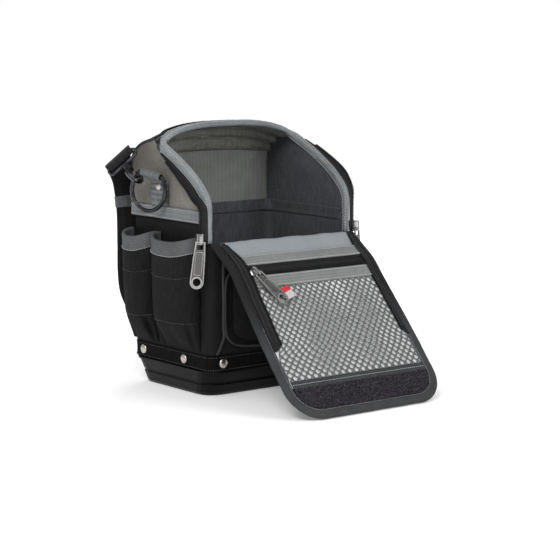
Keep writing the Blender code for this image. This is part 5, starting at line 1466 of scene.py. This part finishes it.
# %% [markdown]
# The flap is drawn in its own terms: how far across, how far along the cloth from its fold, and how
# far off its middle plane. One function turns these into a place in space, easing the cloth round
# each crease, so every layer of the flap follows the same curve.

# %% Flap line
fold_pos, middle_pos, tip_pos = (Vector(joints[name]["pos_m"]) for name in
                                 ("flap_hinge", "flap_middle_hinge", "flap_tip_hinge"))
lower_length, middle_length = (middle_pos - fold_pos).length, (tip_pos - middle_pos).length
tip_length = 44.5 * MM
crease_reach = 9 * MM


def droop(start, end):
    return math.atan2(start.z - end.z, start.y - end.y)


lower_droop, middle_droop = droop(fold_pos, middle_pos), droop(middle_pos, tip_pos)
tip_droop = math.radians(48.5)
flap_length = lower_length + middle_length + tip_length
tip_start = lower_length + middle_length
flap_half, edge_width, panel_half = 106.5 * MM, 13 * MM, 1.5 * MM
flap_step = 0.5 * MM


def edge_at(s):
    """The flap is cut a little wider towards its tip."""
    return flap_half + 4.5 * MM * ease(s, 20 * MM, 170 * MM)


def droop_at(s):
    first, second = (ease(s, at - crease_reach, at + crease_reach) for at in (lower_length, tip_start))
    return lower_droop + (middle_droop - lower_droop) * first + (tip_droop - middle_droop) * second


flap_line = [(fold_pos.copy(), lower_droop)]
while len(flap_line) * flap_step < flap_length + 5 * MM:
    angle = droop_at(len(flap_line) * flap_step)
    flap_line.append((flap_line[-1][0] + Vector((0, -math.cos(angle), -math.sin(angle))) * flap_step, angle))


def flap_at(x, s, n=0.0):
    """Place of a point x across, s along the flap and n towards its inner face. The flap hangs askew."""
    x = x + 2.5 * MM * ease(s, 50 * MM, flap_length)
    place = max(0.0, s) / flap_step
    low = min(int(place), len(flap_line) - 2)
    (a, turn_a), (b, turn_b) = flap_line[low], flap_line[low + 1]
    point, angle = a.lerp(b, place - low), turn_a + (turn_b - turn_a) * (place - low)
    point = point + Vector((0, -math.cos(angle), -math.sin(angle))) * min(0.0, s)
    return point + Vector((x, -math.sin(angle) * n, math.cos(angle) * n))


def inner_side(s):
    return (flap_at(0, s, 1 * MM) - flap_at(0, s, 0)).normalized()


root_bend = ("bag", "flap_lower", Vector((0, -half_depth + 2 * MM, front_top)), flap_at(0, crease_reach))
upper_bend = ("flap_lower", "flap_middle", flap_at(0, lower_length - crease_reach),
              flap_at(0, lower_length + crease_reach))
tip_bend = ("flap_middle", "flap_tip", flap_at(0, tip_start - crease_reach),
            flap_at(0, tip_start + crease_reach))
print("flap", round(flap_length, 4), "m long")

# %% [markdown]
# The panel is two pieces that meet under the net, because a piece can bend at one crease only. Its
# outer face is the bag's black cloth and its inner face a pale satin. The satin starts inside the
# front wall and folds over its top.

# %% Flap panel
seam_place = lower_length + middle_length / 2
tip_radius = 41 * MM


def half_at(s, inset):
    """Half width of the flap, which narrows round the tip's corners."""
    over = s - (flap_length - tip_radius)
    if over <= 0:
        return edge_at(s) - inset
    radius = tip_radius - inset
    return edge_at(s) - tip_radius + math.sqrt(max(0.0, radius ** 2 - min(over, radius) ** 2))


def panel(start, end, n, inset):
    def place(u, v):
        s = start + (end - start) * v
        x = half_at(s, inset) * (2 * u - 1)
        soft = math.sin(math.pi * u) * rough(x, s, 2, 0.05, 1.2 * MM)
        return flap_at(x, s, n + max(-0.5 * MM, min(0.5 * MM, soft)))
    return place


upper = surface("flap_cloth_upper", 50, 62, panel(0.5 * MM, seam_place, -1.3 * MM, 5 * MM), (0.2, 0.12),
                black_twill, facing=(0, 1, -1), wall=2.4 * MM, lining=flap_lining)
settle(upper, upper_bend, "black_fabric", "flap_lower_panel", "flap_middle_panel")
tip_rows = [i / 30 * 0.85 for i in range(31)] + [0.88, 0.91, 0.935, 0.955, 0.97, 0.985, 1.0]
lower = surface("flap_cloth_lower", 50, tip_rows, panel(seam_place, flap_length - 5 * MM, -1.3 * MM, 5 * MM),
                (0.2, 0.12), black_twill, facing=(0, 1, -1), wall=2.4 * MM, lining=flap_lining)
settle(lower, tip_bend, "black_fabric", "flap_tip_panel")


flap_tapes = {-1: 13.5 * MM, 1: 7.6 * MM}
satin_turn = 0.35
tape_gain = flap_tapes[-1] - flap_tapes[1]


def tape_share(s):
    """The flap's zip tape is narrow at its root."""
    return 0.42 + 0.58 * ease(s, 4 * MM, 36 * MM)


def tape_inner(s, hand):
    """How far across the tape's inner edge lies. The right tape is half hidden under the binding."""
    return edge_at(s) - edge_width + 1.9 * MM - flap_tapes[hand] * tape_share(s)


def satin(u, v):
    """Lining from inside the front wall, over its top and on to the flap."""
    down = lower_length * max(0.0, v - satin_turn) / (1 - satin_turn)
    left, right = -tape_inner(down, -1) - 1.6 * MM, tape_inner(down, 1) + 1.6 * MM
    x = left + (right - left) * u
    wall_y = -half_depth + 4.2 * MM
    knots = [Vector((x, wall_y, front_top - 14 * MM)), Vector((x, wall_y, front_top - 3 * MM)),
             Vector((x, wall_y - 1.8 * MM, front_top + 3.6 * MM)), flap_at(x, 4 * MM, 3.6 * MM)]
    if v < satin_turn:
        line = satin_line[round(v / satin_turn * 12)]
        point = knots[0] * line[0] + knots[1] * line[1] + knots[2] * line[2] + knots[3] * line[3]
    else:
        s = 4 * MM + (lower_length - 9.5 * MM - 4 * MM) * (v - satin_turn) / (1 - satin_turn)
        point = flap_at(x, s, 1.5 * MM + 1.9 * MM * (1 - ease(v, satin_turn, 0.9)))
    fold = rough(x, v * 0.03, 0, 0.028, 2.2 * MM) + rough(x, v * 0.01, 7, 0.011, 0.7 * MM)
    held = math.sin(math.pi * min(1.0, v * 1.02)) * min(1.0, 0.15 + 5 * math.sin(math.pi * u))
    return point + Vector((0, -0.5, 0.8)) * max(0.0, fold + 0.6 * MM) * held


satin_line = []
for i in range(13):
    t = i / 12
    satin_line.append(((1 - t) ** 3, 3 * t * (1 - t) ** 2, 3 * t * t * (1 - t), t ** 3))
satin_rows = [satin_turn * i / 12 for i in range(12)]
satin_rows += [satin_turn + (1 - satin_turn) * i / 20 for i in range(21)]
made = surface("flap_satin", 60, satin_rows, satin, (0.19, 0.06), pale_lining, facing=(0, -0.3, 1),
               wall=0.7 * MM, levels=1)
settle(made, root_bend, "black_fabric")
print("flap panel ready")

# %% [markdown]
# A rolled binding closes the flap's edge. Its section is thick at the outside, where it wraps the
# panel, and thin at the inner row of stitches.

# %% Flap binding
edge_centre = edge_width / 2
binding_half = [(-6.5, 1.45), (-6.2, 1.8), (-4.7, 1.9), (-4.1, 1.55), (-3.5, 1.95), (-2.0, 2.65),
                (0.0, 3.05), (2.0, 3.1), (4.0, 2.7), (5.4, 1.95), (6.2, 0.95), (6.45, 0.0)]
binding_section = [(a * MM, b * MM) for a, b in binding_half]
binding_section += [(a, -b) for a, b in reversed(binding_section[:-1])]


def edge_rail(places):
    """Stations along (x, s) places on the flap, with the width direction in its plane."""
    points = [flap_at(x, s) for x, s in places]
    sides = []
    for i, (x, s) in enumerate(places):
        along = points[min(i + 1, len(points) - 1)] - points[max(i - 1, 0)]
        sides.append(inner_side(s).cross(along))
    return stations(points, sides)


def edge_piece(name, places, thread, body, *replaced):
    rail = edge_rail(places)
    swell = [(1 + rough(i * 0.004, 0, 0, 0.02, 0.05), 1 + rough(i * 0.004, 5, 0, 0.015, 0.14))
             for i in range(len(rail))]
    settle(strip(name, rail, binding_section, flap_edge, widths=swell), body, "hem_fabric", *replaced)
    rows = [[(p - wide * 4.1 * MM - thick * face * 1.7 * MM, -thick * face) for p, wide, thick in rail]
            for face in (-1, 1)]
    stitches(name + "_stitches", rows, body, "hem_fabric", thread,
             pitch=2.7 * MM, length=1.9 * MM, thick=0.34 * MM)


runs = [(edge_at(s) - edge_centre, s) for s in (seam_place * i / 60 for i in range(61))]
edge_piece("flap_binding_right", runs, dark_thread, upper_bend, "flap_edge_left")
edge_piece("flap_binding_left", [(-x, s) for x, s in reversed(runs)], dark_thread, upper_bend,
           "flap_edge_right")
turn_radius = tip_radius - edge_centre
turn_s = flap_length - tip_radius
straight_s = [seam_place + (turn_s - seam_place) * i / 50 for i in range(50)]
round_tip = [(edge_at(s) - edge_centre, s) for s in straight_s]
half_across = edge_at(flap_length) - tip_radius
for i in range(25):
    angle = math.pi / 2 * i / 24
    round_tip.append((half_across + turn_radius * math.cos(angle), turn_s + turn_radius * math.sin(angle)))
round_tip += [(half_across * (1 - i / 20), flap_length - edge_centre) for i in range(1, 20)]
round_tip += [(0.0, flap_length - edge_centre)] + [(-x, s) for x, s in reversed(round_tip)]
edge_piece("flap_binding_tip", round_tip, grey_thread, tip_bend, "flap_tip_edge")
print("binding ready")

# %% [markdown]
# The flap's halves of the main zip run down inside the binding and curve out at the foot. Grey
# webbing crosses the flap above and below the black zip of the net pocket.

# %% Flap zips and webbing
inner_half = flap_half - edge_width
zip_end = lower_length + 101 * MM
for side, label in SIDES:
    spots = [3 * MM + (zip_end - 3 * MM) * i / 60 for i in range(61)]
    wide = flap_tapes[-side]
    places = [(tape_inner(s, -side) + wide / 2 * tape_share(s), s) for s in spots]
    shares = [tape_share(s) for s in spots]
    for over, beyond, share in ((1.2, 3, 0.86), (3.2, 6, 0.62), (5.0, 8.5, 0.34)):
        places.append((places[60][0] + over * MM, zip_end + beyond * MM))
        shares.append(share)
    rail = []
    for (x, s), share in zip(places, shares):
        raised = 1.7 + 0.7 * (1 - ease(s, 8 * MM, 44 * MM)) - 1.2 * ease(s, zip_end, zip_end + 8 * MM)
        lift = panel_half + raised * MM + rough(0, s, side, 0.02, 0.8 * MM)
        rail.append((flap_at(-side * x, s, lift), Vector((1, 0, 0)), inner_side(s)))
    made = strip("flap_zip_tape_" + label, rail, band_section(wide, 0.9 * MM), zip_cloth,
                 widths=[(share, 1.0) for share in shares])
    settle(made, upper_bend, "zip_black", "flap_zip_" + label)
    edge = [p + Vector((side * 0.48 * wide * share, 0, 0)) + n * 0.4 * MM
            for (p, _, n), share in zip(rail[2:62], shares[2:])]
    lay_teeth("flap_zip_teeth_" + label, edge, 0.142, lambda _: inner_side(lower_length + 20 * MM),
              (2.9 * MM, 1.15 * MM, 2.4 * MM), upper_bend)
    rows = [[(p + Vector((side * shift * share * wide, 0, 0)) + n * 0.5 * MM, n)
             for (p, _, n), share in zip(rail[2:60], shares[2:])] for shift in (-0.33, 0.14)]
    stitches("flap_zip_stitches_" + label, rows, upper_bend, "zip_black", dark_thread,
             pitch=2.6 * MM, thick=0.3 * MM)


def flap_band(name, start, end, half, thickness, finish, body, slot, replaced, rows=(), wave=0.4 * MM,
              base=panel_half, gain=tape_gain):
    """Band across the flap from s = start to end, stitched at shares of its width. Gain lengthens its right."""
    def lift(x, s):
        return base + thickness / 2 + 0.4 * MM + rough(x, s, start, 0.025, wave)

    middle = (start + end) / 2
    xs = [-half + (2 * half + gain) * i / 60 for i in range(61)]
    along = (flap_at(0, end) - flap_at(0, start)).normalized()
    rail = [(flap_at(x, middle, lift(x, middle)), along, inner_side(middle)) for x in xs]
    settle(strip(name, rail, band_section(end - start, thickness), finish), body, slot, *replaced)
    seams = [[(p + wide * share * (end - start) + n * thickness * 0.5, n) for p, wide, n in rail]
             for share in rows]
    if seams:
        stitches(name + "_stitches", seams, body, slot, pale_thread, length=2.1 * MM, thick=0.5 * MM)


flap_band("flap_web_upper", 26.5 * MM, 42.5 * MM, inner_half - 10.4 * MM, 1.2 * MM, flap_web,
          upper_bend, "grey_webbing", ["flap_webbing"], rows=(-0.4, 0.4), base=panel_half + 0.9 * MM)
flap_band("flap_web_pocket", lower_length + 10.6 * MM, lower_length + 26.6 * MM, 83 * MM, 1.7 * MM, flap_web,
          "flap_middle", "grey_webbing", ["pocket_webbing"], rows=(-0.38, 0.38))
flap_band("pocket_zip_tape", lower_length - 8.6 * MM, lower_length - 0.3 * MM, inner_half - 9 * MM, 1.1 * MM,
          zip_cloth, upper_bend, "zip_black", ["pocket_zip_upper"], wave=0.2 * MM)
flap_band("pocket_zip_tape_lower", lower_length - 0.5 * MM, lower_length + 12.2 * MM, 84 * MM, 1.1 * MM,
          zip_cloth, upper_bend, "zip_black", ["pocket_zip_lower"], wave=0.2 * MM)
teeth_s = lower_length + 8 * MM
line = [flap_at(-80 * MM + (160 * MM + tape_gain) * i / 60, teeth_s, panel_half + 1.9 * MM) for i in range(61)]
normal = inner_side(teeth_s)
lay_teeth("pocket_zip_teeth", line, 0.16, lambda _: normal, (3.6 * MM, 1.15 * MM, 1.9 * MM), "flap_middle")
flap_band("flap_seam_band", lower_length + 148.6 * MM, tip_start + 4.5 * MM, 97 * MM, 1.2 * MM, edge_tape,
          tip_bend, "hem_fabric", [], rows=(0.0,), gain=0.0)
print("flap zips ready")

# %% [markdown]
# The net starts as a flat grid. Poke gives every square a middle point, and dissolving the grid's
# own lines leaves diamonds, whose edges the Wireframe modifier turns into yarns. The net is slack,
# so it is then lifted off the flap in soft folds.

# %% Net pocket
net_start_s, net_end_s = lower_length + 26.0 * MM, lower_length + 150 * MM
net_long = 124 * MM
columns, rows_of_net = 20, 13


def net_half(s, hand):
    """The net reaches the zips, and below their ends the binding."""
    zip_left = 1 - ease(s, zip_end + 4 * MM, zip_end + 16 * MM)
    return edge_at(s) - edge_width + 0.5 * MM - (flap_tapes[hand] - 3 * MM) * zip_left


def net_lift(u, v):
    """Height of the net over the flap: sewn down round its border."""
    x, s = 90 * MM * (2 * u - 1), v * net_long
    border = (1 - (2 * u - 1) ** 4) * math.sin(math.pi * min(1.0, max(0.0, v))) ** 0.6
    folds = 0.75 + 0.55 * math.sin(u * 17 + 3 * v) * 0.5 + rough(x, s * 0.5, 0, 0.022, 0.8)
    return panel_half + 0.7 * MM + 2.6 * MM * border * max(0.15, folds)


bpy.ops.object.select_all(action="DESELECT")
bpy.ops.mesh.primitive_grid_add(x_subdivisions=columns, y_subdivisions=rows_of_net, size=1)
net = bpy.context.object
net.name = net.data.name = "net"
edit(net, bpy.ops.mesh.mark_seam, bpy.ops.mesh.poke)
bpy.ops.object.mode_set(mode="EDIT")
bpy.ops.mesh.select_mode(type="EDGE")
bpy.ops.mesh.select_all(action="DESELECT")
bpy.ops.object.mode_set(mode="OBJECT")
for edge_line in net.data.edges:
    edge_line.select = edge_line.use_seam
bpy.ops.object.mode_set(mode="EDIT")
bpy.ops.mesh.dissolve_edges(use_verts=False)
bpy.ops.mesh.select_mode(type="VERT")
bpy.ops.object.mode_set(mode="OBJECT")
for vert in net.data.vertices:
    u, v = vert.co.x + 0.5, vert.co.y + 0.5
    s = net_start_s + (net_end_s - net_start_s) * v
    vert.co = flap_at(net_half(s, 1 if u > 0.5 else -1) * (2 * u - 1), s, net_lift(u, v))
modify(net, "WIREFRAME", thickness=0.95 * MM, use_even_offset=False, use_relative_offset=False,
       use_boundary=True)
net.data.materials.append(net_yarn)
smooth(net)
settle(net, "flap_middle", "net_fabric", "mesh_pocket")
print("net", len(net.data.polygons), "faces")

# %% [markdown]
# The strip of loops across the tip is a fine grid roughened by noise. A folded tag of red and white
# cloth is sewn in at the pocket's edge, with nothing on it.

# %% Loop strip and tag
def pile_strip(u, v):
    s = tip_start + 3.5 * MM + 29.5 * MM * v
    x = half_at(s, edge_width - 1.0 * MM) * (2 * u - 1)
    fuzz = rough(x, s, 0, 0.0016, 0.7 * MM) + rough(x, s, 3, 0.0042, 0.5 * MM)
    return flap_at(x, s, panel_half + 1.3 * MM + fuzz * math.sin(math.pi * u) ** 0.3)


made = surface("pile_strip", 230, 44, pile_strip, (0.18, 0.03), loop_pile, facing=(0, -1, 1), wall=1.0 * MM)
settle(made, "flap_tip", "loop_pile", "flap_loop_strip")


tag_long = 16 * MM


def tag(name, start, end, finish):
    """Half of the folded tag, between two shares of its length, standing off the net a little."""
    def place(u, v):
        across, down = (u - 0.5) * 17 * MM, (start + (end - start) * v) * tag_long
        x = -50 * MM + across * 0.94 + down * 0.34
        s = lower_length + 31 * MM + down * 0.94 - across * 0.34
        lift = panel_half + 4.0 * MM + 1.2 * MM * math.sin(u * 2.6) + 2.0 * MM * (down / tag_long) ** 2
        return flap_at(x, s, lift)
    made = surface(name, 14, 8, place, (0.017, 0.008), finish, facing=(0, -1, 1), wall=0.7 * MM)
    settle(made, "flap_middle", "net_fabric")


tag("tag_red_half", 0.0, 0.42, tag_red)
tag("tag_white_half", 0.42, 1.0, tag_white)
print("tip ready")

# %% [markdown]
# Zip pullers are cast plates: a raised rim runs round a bare sunk panel, with a round hole at the
# end and a slot at the top for the slider's bridge.

# %% Zip pullers
pull_wide, pull_thick, hole_radius = 16 * MM, 1.9 * MM, 4.6 * MM


def ring_of(cy, radius):
    return [(x, cy + y) for x, y in round_section(radius, 28)]


def puller_outline(long, inset):
    """Narrow at the slider, round and wide at the hole."""
    half, neck, end = pull_wide / 2 - inset, 5.6 * MM - inset, -long + pull_wide / 2
    points = [(-neck, 0.8 * MM - inset), (neck, 0.8 * MM - inset), (half - 0.8 * MM, -20 * MM)]
    turns = [math.pi * i / 16 for i in range(17)]
    points += [(half * math.cos(turn), end - half * math.sin(turn)) for turn in turns]
    return points + [(-half + 0.8 * MM, -20 * MM)]


def flat_shape(name, loops, half_height, bevel):
    """Plate between closed outlines, from a 2D curve: the first is its edge, the others are holes."""
    curve = bpy.data.curves.new(name, "CURVE")
    curve.dimensions, curve.fill_mode = "2D", "BOTH"
    curve.extrude, curve.bevel_depth, curve.bevel_resolution = half_height - bevel, bevel, 2
    curve.offset = -bevel
    for points in loops:
        spline = curve.splines.new("POLY")
        spline.points.add(len(points) - 1)
        for spot, (x, y) in zip(spline.points, points):
            spot.co = (x, y, 0, 1)
        spline.use_cyclic_u = True
    made = bpy.data.objects.new(name, curve)
    bpy.context.scene.collection.objects.link(made)
    bpy.ops.object.select_all(action="DESELECT")
    bpy.context.view_layer.objects.active = made
    made.select_set(True)
    bpy.ops.object.convert(target="MESH")
    return bpy.context.object


slot_loop = [(-3.6 * MM, -0.85 * MM), (3.6 * MM, -0.85 * MM), (3.6 * MM, -8.35 * MM), (-3.6 * MM, -8.35 * MM)]


def oblong(half, top, bottom, radius):
    """Sunk panel's outline with round corners."""
    points = []
    for cx, cy, turn in ((half, top, 0), (-half, top, 1), (-half, bottom, 2), (half, bottom, 3)):
        cx, cy = cx - math.copysign(radius, cx), cy + (radius if turn > 1 else -radius)
        angles = [math.pi / 2 * (turn + i / 5) for i in range(6)]
        points += [(cx + radius * math.cos(angle), cy + radius * math.sin(angle)) for angle in angles]
    return points


def make_puller(name, x_dir, y_dir, pivot, body, replaced, long=54 * MM, lean=0.0):
    """Plate, raised rim and raised border, joined and set on the joint's pivot."""
    z_dir = x_dir.cross(y_dir).normalized()
    turned = (Matrix.Rotation(lean, 3, z_dir) @ Matrix((x_dir, y_dir, z_dir)).transposed()).to_4x4()
    turned.translation = pivot
    hole_centre = -long + pull_wide / 2
    hole, collar = ring_of(hole_centre, hole_radius), ring_of(hole_centre, hole_radius + 1.9 * MM)
    low = hole_centre + hole_radius + 3.4 * MM
    border = [oblong(4.6 * MM, -11.0 * MM, low, 1.2 * MM),
              oblong(3.9 * MM, -11.7 * MM, low + 0.7 * MM, 0.8 * MM)]
    shapes = ((puller_plate, [puller_outline(long, 0.3 * MM), slot_loop, hole], pull_thick / 2 - 0.35 * MM),
              (puller_metal, [puller_outline(long, 0.0), puller_outline(long, 1.3 * MM)], pull_thick / 2),
              (puller_metal, [collar, hole], pull_thick / 2),
              (puller_metal, border, pull_thick / 2 - 0.1 * MM))
    pieces = []
    for finish, loops, half_height in shapes:
        piece = flat_shape(name, loops, half_height, 0.15 * MM)
        piece.data.materials.clear()
        piece.data.materials.append(finish)
        pieces.append(piece)
    bpy.ops.object.select_all(action="DESELECT")
    for piece in pieces:
        piece.select_set(True)
    bpy.context.view_layer.objects.active = pieces[0]
    bpy.ops.object.join()
    made = bpy.context.object
    made.name = made.data.name = name
    made.data.transform(turned)
    made.data.shade_smooth()
    made.data.set_sharp_from_angle(angle=math.radians(40))
    return settle(made, body, "nickel", replaced)


for side, label in SIDES:
    hinge = joints["main_puller_hinge_" + label]
    body = "main_puller_" + label
    make_puller("puller_" + label, -Vector(hinge["axis"]).normalized(), up, Vector(hinge["pos_m"]), body, body,
                lean=side * math.radians(6))
hinge = joints["pocket_puller_hinge"]
down_flap = (flap_at(0, teeth_s + MM) - flap_at(0, teeth_s)).normalized()
frame_flap = Matrix((Vector((-1, 0, 0)), down_flap, normal)).transposed()
puller_turn = Matrix.Rotation(math.radians(208), 3, "Z") @ Matrix.Rotation(math.radians(2), 3, "X")
pull_x, pull_y, _ = (frame_flap @ puller_turn).col
make_puller("puller_pocket", pull_x.normalized(), pull_y.normalized(), Vector(hinge["pos_m"]), "pocket_puller",
            "pocket_puller", long=47 * MM)
print("pullers ready")

# %% [markdown]
# The hard pieces keep the frame's own shapes. Each gets its finish by name, and the box of the
# finished bag is measured.

# %% Finish the frame's own pieces
frame_finishes = {
    "carry_ring": plated_black, "snap_hook": plated_black, "hook_gate": plated_black,
    "strap_eye": plated_black, "main_slider": puller_metal, "pocket_slider": puller_metal,
}
for name in nodes:
    for start, finish in frame_finishes.items():
        if name.startswith(start):
            repaint(name, finish)

low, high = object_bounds()
